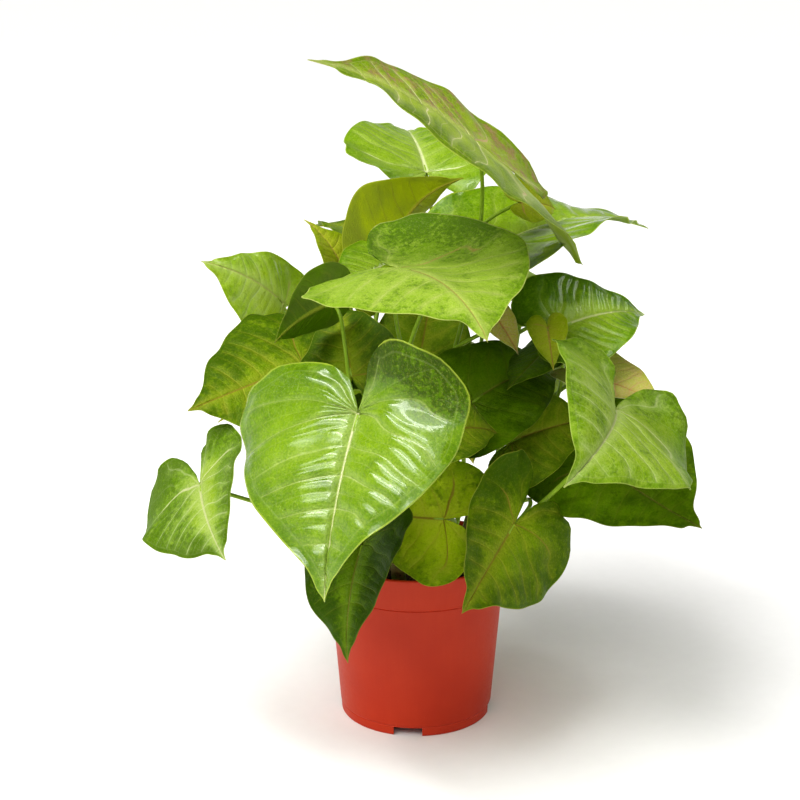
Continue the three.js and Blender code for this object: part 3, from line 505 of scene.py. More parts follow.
def leaf_upper(name, skin):
    """Upper face of the blade: clear waxy skin, pale veins, mottled green between them,
    and painted shade on the halves and lobes that are set dark.
    """
    material, tree = new_material("leaf_upper_" + name)
    field = blade_coordinates(tree)
    line = vein_lines(tree, field, 0.45)
    net = fine_net(tree, field, 2.8)
    halo = vein_halo(tree, field)
    specks = add(tree, "TexNoise", {"Vector": field["place"], "Scale": per_mm(1.0),
                                    "Detail": 5.0, "Roughness": 0.65})
    tone = blade_tone(tree, field, skin, line, net, halo, specks)
    outward = add(tree, "Math", {0: field["band"], 1: 1.2}, **TIMES)
    round_veins = add(tree, "Math", {0: field["vein"], 1: 14.0}, **TIMES)
    wrinkles = add(tree, "CombineXYZ", {0: round_veins, 1: outward})
    wrinkles = add(tree, "TexNoise", {"Vector": wrinkles, "Scale": 1.0, "Detail": 3.0})
    dents = wrinkles
    for cause, share in ((specks, 0.5), (net, -0.3), (line, -0.5)):
        dents = add(tree, "Math", {0: cause, 1: share, 2: dents}, **TIMES_PLUS)
    bump = add(tree, "Bump", {"Height": dents, "Distance": skin["dents"] * MM,
                              "Strength": 0.8})
    rough = add(tree, "MapRange", {0: field["broad"], 1: 0.3, 2: 0.7, 3: skin["rough"] - 0.04,
                                   4: skin["rough"] + 0.08})
    # The wax reflects less where painted shade and the darker green are set.
    coat = 0.0
    if skin["coat"]:
        coat = add(tree, "MapRange", {0: field["deep"], 1: 0.3, 2: 1.2, 3: skin["coat"],
                                      4: skin["deep_coat"]})
    skin_shader = add(tree, "BsdfPrincipled", {
        "Base Color": tone, "Roughness": rough, "IOR": 1.45, "Normal": bump,
        "Specular IOR Level": skin["specular"], "Coat Weight": coat,
        "Coat Roughness": 0.1})
    through = add(tree, "BsdfTranslucent", {"Color": colour(skin["glow"]), "Normal": bump})
    blend = add(tree, "MixShader", {0: skin["thin"], 1: skin_shader, 2: through})
    add(tree, "OutputMaterial", {"Surface": blend})
    return material


def leaf_under(name, skin):
    """Underside of the blade: paler and matt, with the veins standing out."""
    material, tree = new_material("leaf_under_" + name)
    field = blade_coordinates(tree)
    line = vein_lines(tree, field, 0.7)
    net = fine_net(tree, field, 2.4)
    cloud = add(tree, "MapRange", {0: field["broad"], 1: 0.35, 2: 0.65}, **SMOOTH)
    tone = add(tree, "Mix", {0: cloud, 6: colour(skin["under"]), 7: colour(skin["blade"])}, **MIX)
    rib = add(tree, "MapRange", {0: field["rib"], 1: 1.6, 2: 1.0}, **SMOOTH)
    rim = add(tree, "MapRange", {0: field["band"], 1: 0.2, 2: 0.06}, **SMOOTH)
    for cover, strength, part in ((net, 0.2, "deep"), (line, 0.45, "vein"), (rib, 1.0, "vein"),
                                  (rim, 0.8, "margin")):
        share = add(tree, "Math", {0: cover, 1: strength}, **TIMES)
        tone = add(tree, "Mix", {0: share, 6: tone, 7: colour(skin[part])}, **MIX)
    height = add(tree, "Math", {0: net, 1: 0.4, 2: line}, **TIMES_PLUS)
    bump = add(tree, "Bump", {"Height": height, "Distance": 0.25 * MM, "Strength": 0.8})
    skin_shader = add(tree, "BsdfPrincipled", {
        "Base Color": tone, "Roughness": 0.55, "IOR": 1.42, "Normal": bump,
        "Specular IOR Level": 0.2})
    through = add(tree, "BsdfTranslucent", {"Color": colour(skin["glow"]), "Normal": bump})
    blend = add(tree, "MixShader", {0: 0.14, 1: skin_shader, 2: through})
    add(tree, "OutputMaterial", {"Surface": blend})
    return material


def stalk_skin():
    """Leaf stalk: smooth juicy green, reddish where the sheath clasps the stem."""
    material, tree = new_material("leaf_stalk")
    along = add(tree, "Attribute", attribute_name="along", out=2)
    place = add(tree, "TexCoord", out=3)
    streaks = add(tree, "Mapping", {"Vector": place, "Scale": (1.0, 1.0, 0.12)})
    streaks = add(tree, "TexNoise", {"Vector": streaks, "Scale": per_mm(1.2), "Detail": 3.0})
    sheath = add(tree, "MapRange", {0: along, 1: 0.16, 2: 0.02}, **SMOOTH)
    tone = add(tree, "Mix", {0: streaks, 6: colour("#6a8c14"), 7: colour("#9ab438")}, **MIX)
    tone = add(tree, "Mix", {0: sheath, 6: tone, 7: colour("#8a6a3a")}, **MIX)
    bump = add(tree, "Bump", {"Height": streaks, "Distance": 0.12 * MM, "Strength": 0.6})
    shader = add(tree, "BsdfPrincipled", {
        "Base Color": tone, "Roughness": 0.38, "IOR": 1.45, "Normal": bump,
        "Specular IOR Level": 0.35})
    add(tree, "OutputMaterial", {"Surface": shader})
    return material


def stem_skin():
    """Shoot: fleshy green skin, brown and corky where leaves have fallen."""
    material, tree = new_material("stem_skin")
    place = add(tree, "TexCoord", out=3)
    broad = add(tree, "TexNoise", {"Vector": place, "Scale": per_mm(6), "Detail": 4.0})
    fine = add(tree, "TexNoise", {"Vector": place, "Scale": per_mm(0.9), "Detail": 4.0})
    cork = add(tree, "MapRange", {0: broad, 1: 0.4, 2: 0.62}, **SMOOTH)
    cracks = add(tree, "MapRange", {0: fine, 1: 0.55, 2: 0.7}, **SMOOTH)
    tone = add(tree, "Mix", {0: cork, 6: colour("#6f8434"), 7: colour("#8c7a4e")}, **MIX)
    tone = add(tree, "Mix", {0: cracks, 6: tone, 7: colour("#5c4a34")}, **MIX)
    bump = add(tree, "Bump", {"Height": fine, "Distance": 0.3 * MM, "Strength": 0.7})
    shader = add(tree, "BsdfPrincipled", {
        "Base Color": tone, "Roughness": 0.6, "IOR": 1.45, "Normal": bump})
    add(tree, "OutputMaterial", {"Surface": shader})
    return material


# ---------------------------------------------------------------- pot and soil materials
def terracotta_plastic():
    """Injection-moulded polypropylene, dyed terracotta: an even satin with faint upright
    flow bands, and small scuffs that are paler and duller."""
    material, tree = new_material("terracotta_plastic")
    place = add(tree, "TexCoord", out=3)
    parts = add(tree, "SeparateXYZ", {0: place}).node.outputs
    turn = add(tree, "Math", {0: parts[1], 1: parts[0]}, operation="ARCTAN2")
    height = add(tree, "Math", {0: parts[2], 1: 1.5}, **TIMES)
    around = add(tree, "CombineXYZ", {0: turn, 2: height})
    bands = add(tree, "TexNoise", {"Vector": around, "Scale": 26.0, "Detail": 4.0})
    clouds = add(tree, "TexNoise", {"Vector": place, "Scale": per_mm(30), "Detail": 3.0})
    clouds = add(tree, "MapRange", {0: clouds, 1: 0.3, 2: 0.75}, **SMOOTH)
    scuffs = add(tree, "TexNoise", {"Vector": place, "Scale": per_mm(1.6), "Detail": 6.0,
                                    "Roughness": 0.7})
    worn = add(tree, "MapRange", {0: scuffs, 1: 0.62, 2: 0.8, 4: 0.3}, **SMOOTH)
    tone = add(tree, "Mix", {0: bands, 6: colour("#b03010"), 7: colour("#b83815")}, **MIX)
    tone = add(tree, "Mix", {0: clouds, 6: tone, 7: colour("#ac2e0e")}, **MIX)
    tone = add(tree, "Mix", {0: worn, 6: tone, 7: colour("#cf7450")}, **MIX)
    rough = add(tree, "MapRange", {0: scuffs, 1: 0.3, 2: 0.75, 3: 0.38, 4: 0.54})
    grain = add(tree, "TexNoise", {"Vector": place, "Scale": per_mm(0.5), "Detail": 2.0})
    bump = add(tree, "Bump", {"Height": grain, "Distance": 0.03 * MM, "Strength": 0.5})
    shader = add(tree, "BsdfPrincipled", {
        "Base Color": tone, "Roughness": rough, "IOR": 1.49, "Normal": bump,
        "Specular IOR Level": 0.3})
    add(tree, "OutputMaterial", {"Surface": shader})
    return material


def potting_mix():
    """Peat and bark fines, damp: near black brown and dull, with paler fibres."""
    material, tree = new_material("potting_mix")
    place = add(tree, "TexCoord", out=3)
    crumbs = add(tree, "TexNoise", {"Vector": place, "Scale": per_mm(2.5), "Detail": 6.0,
                                    "Roughness": 0.65})
    flecks = add(tree, "TexNoise", {"Vector": place, "Scale": per_mm(5), "Detail": 2.0})
    bark = add(tree, "MapRange", {0: crumbs, 1: 0.35, 2: 0.65}, **SMOOTH)
    fibre = add(tree, "MapRange", {0: flecks, 1: 0.62, 2: 0.7}, **SMOOTH)
    tone = add(tree, "Mix", {0: bark, 6: colour("#241810"), 7: colour("#4a3524")}, **MIX)
    tone = add(tree, "Mix", {0: fibre, 6: tone, 7: colour("#7c5f42")}, **MIX)
    bump = add(tree, "Bump", {"Height": crumbs, "Distance": 0.8 * MM, "Strength": 0.9})
    shader = add(tree, "BsdfPrincipled", {
        "Base Color": tone, "Roughness": 0.92, "IOR": 1.4, "Normal": bump})
    add(tree, "OutputMaterial", {"Surface": shader})
    return material


def studio_floor():
    """Matt white card."""
    material, tree = new_material("studio_floor")
    place = add(tree, "TexCoord", out=3)
    fibre = add(tree, "TexNoise", {"Vector": place, "Scale": per_mm(8), "Detail": 3.0})
    tone = add(tree, "Mix", {0: fibre, 6: colour("#f4f3f1"), 7: colour("#f0efed")}, **MIX)
    shader = add(tree, "BsdfPrincipled", {"Base Color": tone, "Roughness": 0.8})
    add(tree, "OutputMaterial", {"Surface": shader})
    return material


# -------------------------------------------------------------------------- mesh helpers
def piece(name, points, faces, materials, face_materials=None, attributes=None):
    """A smooth mesh object of points in millimetres. Attributes are per point."""
    mesh = bpy.data.meshes.new(name)
    mesh.from_pydata((np.asarray(points) * MM).tolist(), [], faces)
    for material in materials:
        mesh.materials.append(material)
    if face_materials is not None:
        mesh.polygons.foreach_set("material_index", face_materials)
    for key, values in (attributes or {}).items():
        values = np.asarray(values, np.float32)
        if values.ndim == 2:
            made = mesh.attributes.new(key, "FLOAT_VECTOR", "POINT")
            made.data.foreach_set("vector", values.ravel())
        else:
            made = mesh.attributes.new(key, "FLOAT", "POINT")
            made.data.foreach_set("value", values)
    mesh.shade_smooth()
    made = bpy.data.objects.new(name, mesh)
    bpy.context.scene.collection.objects.link(made)
    return made


def seat(made, node):
    """Lets a finished piece stand for the CAD node in the frame."""
    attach(made, "root")
    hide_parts(node)


def turned_mesh(profile, sides):
    """Points and faces of a profile [radius, height] turned about Z; ends on the axis."""
    points, rings = [], []
    for radius, height in profile:
        if radius == 0:
            rings.append([len(points)] * sides)
            points.append((0, 0, height))
            continue
        rings.append([len(points) + s for s in range(sides)])
        for s in range(sides):
            turn = 2 * math.pi * s / sides
            points.append((radius * math.cos(turn), radius * math.sin(turn), height))
    faces = []
    for low, high in zip(rings, rings[1:]):
        for s in range(sides):
            t = (s + 1) % sides
            corners = list(dict.fromkeys((low[s], low[t], high[t], high[s])))
            faces.append(corners)
    return np.array(points, float), faces


def rounded(profile, radius, steps=4):
    """The profile with each inner corner replaced by a small arc-like bend."""
    points = [Vector(p) for p in profile]
    made = [points[0]]
    for before, corner, after in zip(points, points[1:], points[2:]):
        back = min(radius, (before - corner).length * 0.45)
        ahead = min(radius, (after - corner).length * 0.45)
        start = corner + (before - corner).normalized() * back
        end = corner + (after - corner).normalized() * ahead
        for i in range(steps + 1):
            t = i / steps
            made.append(start * (1 - t) ** 2 + corner * 2 * t * (1 - t) + end * t ** 2)
    made.append(points[-1])
    return [tuple(p) for p in made]


# ------------------------------------------------------------------------------- the pot
def pot_profile():
    """The pot's section, from the middle of its floor round the wall and back."""
    base, wall = POT_BASE_RADIUS, POT_WALL
    outside = [
        (base - wall - 0.9, POT_FLOOR), (base - wall - 0.4, 0), (base - 0.4, 0),
        (base, 0.6), (base + 0.2, 4.6), (base - 0.1, 5.1), (base + 0.5, 5.6),
        (BODY_TOP_RADIUS, BAND_BOTTOM - 0.9), (BODY_TOP_RADIUS - 0.6, BAND_BOTTOM),
        (BAND_BOTTOM_RADIUS, BAND_BOTTOM), (BAND_BOTTOM_RADIUS + 0.2, BAND_BOTTOM + 0.8),
        (POT_RIM_RADIUS, POT_HEIGHT - 0.8), (POT_RIM_RADIUS - 0.4, POT_HEIGHT),
        (POT_RIM_RADIUS - 1.3, POT_HEIGHT),
    ]
    floor_top = POT_FLOOR + POT_FLOOR_THICKNESS
    inside = [
        (POT_RIM_RADIUS - 1.9, POT_HEIGHT - 1.5), (BAND_BOTTOM_RADIUS - wall, BAND_BOTTOM + 1),
        (BODY_TOP_RADIUS - wall, BAND_BOTTOM - 1), (base - wall + 0.3, floor_top),
    ]
    return [(0, POT_FLOOR)] + rounded(outside + inside, POT_EDGE) + [(0, floor_top)]


def cutter_box(target, size, place):
    """Adds a box of that size to a mesh, turned and moved into place."""
    made = bmesh.ops.create_cube(target, size=1.0)
    bmesh.ops.scale(target, verts=made["verts"], vec=size)
    bmesh.ops.transform(target, verts=made["verts"], matrix=place)


def pot_cutters():
    """The foot's notches and the drain holes, as one mesh to cut with."""
    cut = bmesh.new()
    for i in range(NOTCH_COUNT):
        turn = Matrix.Rotation(math.radians(NOTCH_TURN + 360 * i / NOTCH_COUNT), 4, "Z")
        out = Matrix.Translation((POT_BASE_RADIUS * MM, 0, 0))
        size = Vector((NOTCH_REACH, NOTCH_WIDTH, 2 * NOTCH_HEIGHT)) * MM
        cutter_box(cut, size, turn @ out)
    for i in range(DRAIN_COUNT):
        turn = 2 * math.pi * i / DRAIN_COUNT
        centre = Vector((math.cos(turn), math.sin(turn), 0)) * DRAIN_RING * MM
        centre.z = (POT_FLOOR + POT_FLOOR_THICKNESS / 2) * MM
        bmesh.ops.create_cone(cut, cap_ends=True, segments=40, radius1=DRAIN_RADIUS * MM,
                              radius2=DRAIN_RADIUS * MM, depth=DRAIN_CUT_DEPTH * MM,
                              matrix=Matrix.Translation(centre))
    mesh = bpy.data.meshes.new("pot_cutters")
    cut.to_mesh(mesh)
    cut.free()
    made = bpy.data.objects.new("pot_cutters", mesh)
    bpy.context.scene.collection.objects.link(made)
    return made


def apply_modifiers(made):
    """Makes what an object's modifiers do part of its mesh."""
    graph = bpy.context.evaluated_depsgraph_get()
    finished = bpy.data.meshes.new_from_object(made.evaluated_get(graph))
    made.modifiers.clear()
    made.data = finished


def make_pot():
    """The moulded pot, with its foot notched and its floor drilled."""
    points, faces = turned_mesh(pot_profile(), POT_SIDES)
    made = piece("pot_shell", points, faces, [terracotta_plastic()])
    cutters = pot_cutters()
    cut = made.modifiers.new("notches", "BOOLEAN")
    cut.object = cutters
    cut.operation = "DIFFERENCE"
    cut.solver = "EXACT"
    apply_modifiers(made)
    bpy.data.objects.remove(cutters)
    made.data.set_sharp_from_angle(angle=math.radians(40))
    seat(made, "pot")


# ------------------------------------------------------------------------------ the soil
def lump(x, y):
    """Height of the crumbly surface over its mean, in millimetres."""
    broad = noise.noise(Vector((x / 14, y / 14, 0.3)))
    fine = noise.noise(Vector((x / 4, y / 4, 7.1)))
    return 1.3 * broad + 0.8 * fine


def soil_bed():
    """The bed of potting mix, its surface crowned and lumpy."""
    bottom = SOIL_TOP - SOIL_DEPTH
    profile = [(0, bottom), (SOIL_RADIUS - 0.6, bottom)]
    profile += [(SOIL_RADIUS * i / SOIL_RINGS, SOIL_TOP) for i in range(SOIL_RINGS, -1, -1)]
    points, faces = turned_mesh(profile, SOIL_SIDES)
    for p in points:
        if p[2] > SOIL_TOP - 1:
            edge = 1 - min(1, math.hypot(p[0], p[1]) / SOIL_RADIUS)
            p[2] += lump(p[0], p[1]) + 2.0 * min(1, 2 * edge) - 0.5
    return points, faces


def soil_crumbs(count):
    """Loose crumbs and bark bits of many sizes, half sunk in the bed."""
    draw = random.Random(41)
    ball = bmesh.new()
    bmesh.ops.create_icosphere(ball, subdivisions=2, radius=1.0)
    shape = np.array([v.co for v in ball.verts])
    shape_faces = [[v.index for v in f.verts] for f in ball.faces]
    ball.free()
    points, faces = [], []
    for _ in range(count):
        reach = (SOIL_RADIUS - 2.5) * math.sqrt(draw.random())
        turn = draw.uniform(0, 2 * math.pi)
        x, y = reach * math.cos(turn), reach * math.sin(turn)
        size = draw.choice((0.8, 1.0, 1.3, 1.7, 2.4))
        stretch = Matrix.Diagonal((size * draw.uniform(0.8, 1.7), size, size * 0.6, 1))
        spin = Euler([draw.uniform(0, 3) for _ in range(3)]).to_matrix().to_4x4()
        height = SOIL_TOP + lump(x, y) + 1.0
        place = Matrix.Translation((x, y, height)) @ spin @ stretch
        rough = 1 + 0.25 * np.array([draw.uniform(-1, 1) for _ in shape])
        moved = (shape * rough[:, None]) @ np.array(place.to_3x3()).T
        start = len(points)
        points.extend(moved + np.array(place.translation))
        faces.extend([[start + i for i in f] for f in shape_faces])
    return np.array(points), faces


def make_soil():
    """The bed with its crumbs, as one mesh."""
    bed, bed_faces = soil_bed()
    crumbs, crumb_faces = soil_crumbs(CRUMB_COUNT)
    start = len(bed)
    faces = bed_faces + [[start + i for i in f] for f in crumb_faces]
    made = piece("potting_mix_bed", np.vstack([bed, crumbs]), faces, [potting_mix()])
    seat(made, "soil")


# ----------------------------------------------------------------------------- the stems
def stem_frame(stem):
    """Where a stem's foot stands and which way the stem leans."""
    turn = Matrix.Rotation(math.radians(stem["turn"]), 4, "Z")
    lean = Matrix.Rotation(math.radians(stem["lean"]), 4, "Y")
    return Matrix.Translation((stem["x"], stem["y"], STEM_ROOT)) @ turn @ lean


def stem_point(stem, height):
    """The point on a stem's axis at a height above the ground."""
    run = (height - STEM_ROOT) * math.tan(math.radians(stem["lean"]))
    turn = math.radians(stem["turn"])
    return np.array([stem["x"] + run * math.cos(turn), stem["y"] + run * math.sin(turn), height])


def make_stem(index, stem, skin):
    """A short shoot, swollen at its joints, each ringed by a leaf scar."""
    length = stem["top"] - STEM_ROOT
    joints = max(2, round(length / 20))
    spacing = length / (joints + 0.6)
    profile = [(0, 0)]
    for i in range(STEM_RINGS + 1):
        height = length * i / STEM_RINGS
        to_joint = abs(height / spacing - round(height / spacing)) * spacing
        taper = 1 - 0.12 * height / spacing / joints
        swelling = 0.10 * math.exp(-(to_joint / 2.2) ** 2)
        scar = -0.05 * math.exp(-((to_joint - 1.6) / 0.5) ** 2)
        top = math.sqrt(max(0.0, 1 - max(0, height / length - 0.8) ** 2 / 0.04 * 0.85))
        radius = STEM_RADIUS * (taper + swelling + scar) * top
        profile.append((radius * 0.99, height))
    profile.append((0, length))
    points, faces = turned_mesh(profile, STEM_SIDES)
    for p in points:
        p[:2] *= 1 + 0.04 * noise.noise(Vector((p[0] / 3, p[1] / 3, p[2] / 6 + index)))
    turn = np.array(stem_frame(stem))
    points = points @ turn[:3, :3].T + turn[:3, 3]
    made = piece(f"shoot_{index}", points, faces, [skin])
    seat(made, f"stem_{index}")


# ---------------------------------------------------------------------- leaf: flat shape
# Half of the blade's outline in leaf lengths, from the tip round the lobe to the notch
# where the leaf stalk joins at (0, 0).
HALF_OUTLINE = np.array([
    (1, 0), (0.92, 0.035), (0.8, 0.12), (0.6, 0.3), (0.36, 0.45), (0.1, 0.54),
    (-0.12, 0.54), (-0.27, 0.45), (-0.34, 0.31), (-0.33, 0.17), (-0.23, 0.065), (-0.1, 0.02)])
HALF_WIDTH = 0.54
VEIN_SLANT = 0.2          # the laterals leave the midrib this far forward per unit across
VEIN_SWEEP = 0.85         # and bend further to the tip with the square of the distance
VEIN_SPACING = 0.175      # leaf lengths between laterals along the midrib
LOBE_VEIN_TURN = math.radians(36)


def outline_point(share):
    """Points of the half outline at shares 0 (tip) to 1 (notch), a Catmull-Rom spline."""
    last = len(HALF_OUTLINE) - 1
    place = np.clip(share, 0, 1) * last
    index = np.minimum(place.astype(int), last - 1)
    t = (place - index)[:, None]
    p0, p1 = HALF_OUTLINE[np.maximum(index - 1, 0)], HALF_OUTLINE[index]
    p2, p3 = HALF_OUTLINE[index + 1], HALF_OUTLINE[np.minimum(index + 2, last)]
    a, b = (p2 - p0) / 2, (p3 - p1) / 2
    return (2 * p1 - 2 * p2 + a + b) * t ** 3 + (3 * p2 - 3 * p1 - 2 * a - b) * t ** 2 + a * t + p1


def vein_count(along, across):
    """Which lateral vein passes here, counted up the midrib from the stalk: whole
    numbers on a vein, negative ones on the veins that fan out into the lobe."""
    straight = along - VEIN_SWEEP * across ** 2
    base = straight - VEIN_SLANT * across
    first = math.atan2(1, VEIN_SLANT)
    fan = -(np.arctan2(across, straight) - first) / LOBE_VEIN_TURN
    return np.where(base > 0, base / VEIN_SPACING, fan)


def blade_grid(per_vein, rows):
    """Columns that follow the lateral veins from midrib to margin, for half a blade:
    along, across, vein count, share of the way out, and the margin's share, (columns, rows)."""
    share = np.linspace(0, 1, 600)
    edge = outline_point(share)
    count = np.minimum.accumulate(vein_count(edge[:, 0], edge[:, 1]))
    wanted = np.arange(count[-1], count[0], 1 / per_vein)
    wanted = np.append(wanted, count[0])
    edge_share = np.interp(wanted, count[::-1], share[::-1])
    end = outline_point(edge_share)
    along, across = end[:, 0:1], end[:, 1:2]
    base = np.maximum(0, along - VEIN_SLANT * across - VEIN_SWEEP * across ** 2)
    out = np.concatenate([[0, 0.012, 0.03, 0.055, 0.09],
                          np.linspace(0.13, 0.93, rows), [0.96, 0.985, 1]])[None, :]
    sweep = VEIN_SWEEP * across ** 2
    grid_along = base + (along - sweep - base) * out + sweep * out ** 2
    grid_across = across * out
    veins = np.repeat(wanted[:, None], out.shape[1], 1)
    return grid_along, grid_across, veins, np.repeat(out, len(wanted), 0), edge_share


# --------------------------------------------------------------- leaf: shape in space
def unit(v):
    """The vector at length 1."""
    return v / np.linalg.norm(v)


def leaf_axes(leaf):
    """The leaf's length and own directions: x to the tip, y to its left, n off its face."""
    at = np.array(leaf["at"], float)
    x = np.array(leaf["tip"], float) - at
    length = np.linalg.norm(x)
    x = x / length
    n = unit(np.array([0, 0, 1.0]) - x[2] * x)
    turn = Matrix.Rotation(math.radians(-leaf["roll"]), 3, Vector(x))
    n = np.array(turn @ Vector(n))
    return at, length, x, np.cross(n, x), n


def blade_points(leaf, axes, along, across, reach, turn):
    """Points of the flat leaf folded, cupped, arched and waved into place in space."""
    at, length, x, y, n = axes
    side = np.where(across >= 0, 0, 1)
    fold = np.radians(np.array(leaf["fold"], float))[side]
    cup = np.radians(np.array(leaf["cup"], float))
    cup[cup == 0] = 1e-6
    bend = (cup / (HALF_WIDTH * np.array(leaf["width"]) * length))[side]
    out = np.abs(across) * length
    spread = (np.sin(fold + bend * out) - np.sin(fold)) / bend * np.where(across >= 0, 1, -1)
    back = np.minimum(along, 0)
    arch = 4 * leaf["arch"] * length * np.where(along > 0, along * (1 - along), along)
    rise = (np.cos(fold) - np.cos(fold + bend * out)) / bend
    rise = rise + 4 * np.array(leaf["lift"], float)[side] * length * back ** 2 + arch
    ruffle = np.sin(2 * math.pi * MARGIN_WAVES * turn + math.radians(leaf["phase"]))
    rise = rise + leaf["wave"] * reach ** 3 * ruffle * np.minimum(1, 3 * np.abs(across))
    return (at + (along * length)[..., None] * x + spread[..., None] * y
            + rise[..., None] * n)


def margin_distance(flat, outline):
    """Distance of flat points to the leaf's outline, all in millimetres."""
    start, end = outline[:-1], outline[1:]
    run = end - start
    squared = np.maximum((run ** 2).sum(1), 1e-9)
    nearest = np.full(len(flat), 1e9)
    for a, d, s in zip(start, run, squared):
        t = np.clip(((flat - a) @ d) / s, 0, 1)
        nearest = np.minimum(nearest, np.linalg.norm(flat - a - t[:, None] * d, axis=1))
    return nearest


def smoothstep(low, high, value):
    """0 at `low` and before it, 1 at `high` and beyond, eased between."""
    t = np.clip((value - low) / (high - low), 0, 1)
    return t * t * (3 - 2 * t)


def point_normals(points, faces):
    """Area-weighted normals of a quad mesh."""
    corner = points[faces]
    face = np.cross(corner[:, 2] - corner[:, 0], corner[:, 3] - corner[:, 1])
    normals = np.zeros_like(points)
    for i in range(4):
        np.add.at(normals, faces[:, i], face)
    return normals / np.maximum(np.linalg.norm(normals, axis=1), 1e-12)[:, None]


def half_blade(leaf, axes, skin, side, detail):
    """One half's grid in space, with what each point knows of its place in the leaf."""
    along, across, veins, out, edge_share = blade_grid(*detail)
    length = axes[1]
    edge_turn = 0.5 - 0.5 * edge_share if side == 0 else 0.5 + 0.5 * edge_share
    reach_gap = np.hypot(along, across) * LOBE_VEIN_TURN
    gap = np.where(veins > 0, VEIN_SPACING * 0.85, reach_gap) * length
    along = np.where(along < 0, along * leaf["lobe"][side], along)
    across = across * leaf["width"][side] * (1 if side == 0 else -1)
    turn = np.repeat(edge_turn[:, None], along.shape[1], 1)
    nibble = np.sin(57 * turn + leaf["phase"]) + 0.7 * np.sin(101 * turn - leaf["phase"])
    off_ends = np.minimum(1, 12 * edge_share * (1 - edge_share))[:, None]
    uneven = 1 + 0.012 * nibble * out ** 3 * off_ends
    along, across = along * uneven, across * uneven
    points = blade_points(leaf, axes, along, across, out, turn)
    outline = np.stack([along[:, -1], across[:, -1]], 1) * length
    flat = np.stack([along, across], -1).reshape(-1, 2) * length
    edge = margin_distance(flat, np.vstack([[0, 0], outline])).reshape(along.shape)
    inland = margin_distance(flat, outline[edge_share < 0.84]).reshape(along.shape)
    band = 0.4 + skin["band"] * length * (1 + 0.25 * np.sin(9 * along + leaf["phase"]))
    sway = np.sin(11 * along + 5 * across + leaf["phase"]) + np.sin(23 * along + 9 * across)
    veins = veins + 0.08 * sway * np.minimum(1, 0.3 + 4 * np.abs(across))
    # A half, and most of all its lobe, set dark: partly a darker green, partly painted shade.
    deep = leaf["deep"][side] * smoothstep(0.1, 0.9, out)
    in_lobe = smoothstep(0.1, -0.12, along) * smoothstep(0.2, 0.75, out)
    deep = deep + leaf["deep_lobe"][side] * in_lobe
    return dict(points=points, along=along * length, across=across * length, vein=veins,
                gap=gap, out=out, edge=edge, band=inland / band, turn=turn, deep=deep,
                flush=np.full_like(out, leaf["flush"][side]))


def bulge_between(count):
    """0 on whole counts, rising to 1 half way between them."""
    away = 2 * np.abs(count - np.round(count))
    return 1 - (1 - away) ** 2


def quilting(leaf, skin, length, half):
    """Relief of the upper face in millimetres: the blade bulges between its veins, is
    softly uneven, and ripples at the margin."""
    nearest = np.round(half["vein"] + 0.5)
    strength = 0.75 + 0.25 * np.sin(2.4 * nearest + leaf["phase"])
    bulge = 0.55 * bulge_between(half["vein"]) * strength
    bulge += 0.45 * bulge_between(2 * half["vein"])
    inside = smoothstep(0.0, 0.10, half["out"]) * smoothstep(0.5, 1.4, half["band"])
    scale = min(1, length / 70)
    relief = skin["quilt"] * scale * bulge * inside
    relief += 0.5 * skin["quilt"] * scale * (1 - np.exp(-(np.abs(half["across"]) / 2.5) ** 2))
    across = np.abs(half["across"])
    swell = np.sin(half["along"] / 7.5 + leaf["phase"]) * np.sin(across / 6.0 + 5.0)
    swell += 0.6 * np.sin(half["along"] / 4.1 - across / 5.3 + 2 * leaf["phase"])
    ripple = np.sin(75 * half["turn"] + leaf["phase"]) + 0.6 * np.sin(131 * half["turn"])
    relief += 0.45 * scale * swell * smoothstep(0, 12, across)
    ripple = 0.4 * leaf["wave"] * scale * ripple * half["out"] ** 4
    return relief + ripple * smoothstep(0, 6, across)


def grid_faces(columns, rows, start, flip):
    """Quads of a grid of points; a flipped grid faces the other way."""
    index = start + np.arange(columns * rows).reshape(columns, rows)
    a, b = index[:-1, :-1], index[1:, :-1]
    c, d = index[1:, 1:], index[:-1, 1:]
    order = (a, d, c, b) if flip else (a, b, c, d)
    return np.stack(order, -1).reshape(-1, 4)


def clean_faces(faces):
    """Quads as lists, with corners that fell together taken out."""
    made = []
    for quad in faces.tolist():
        corners = list(dict.fromkeys(quad))
        if len(corners) > 2:
            made.append(corners)
    return made


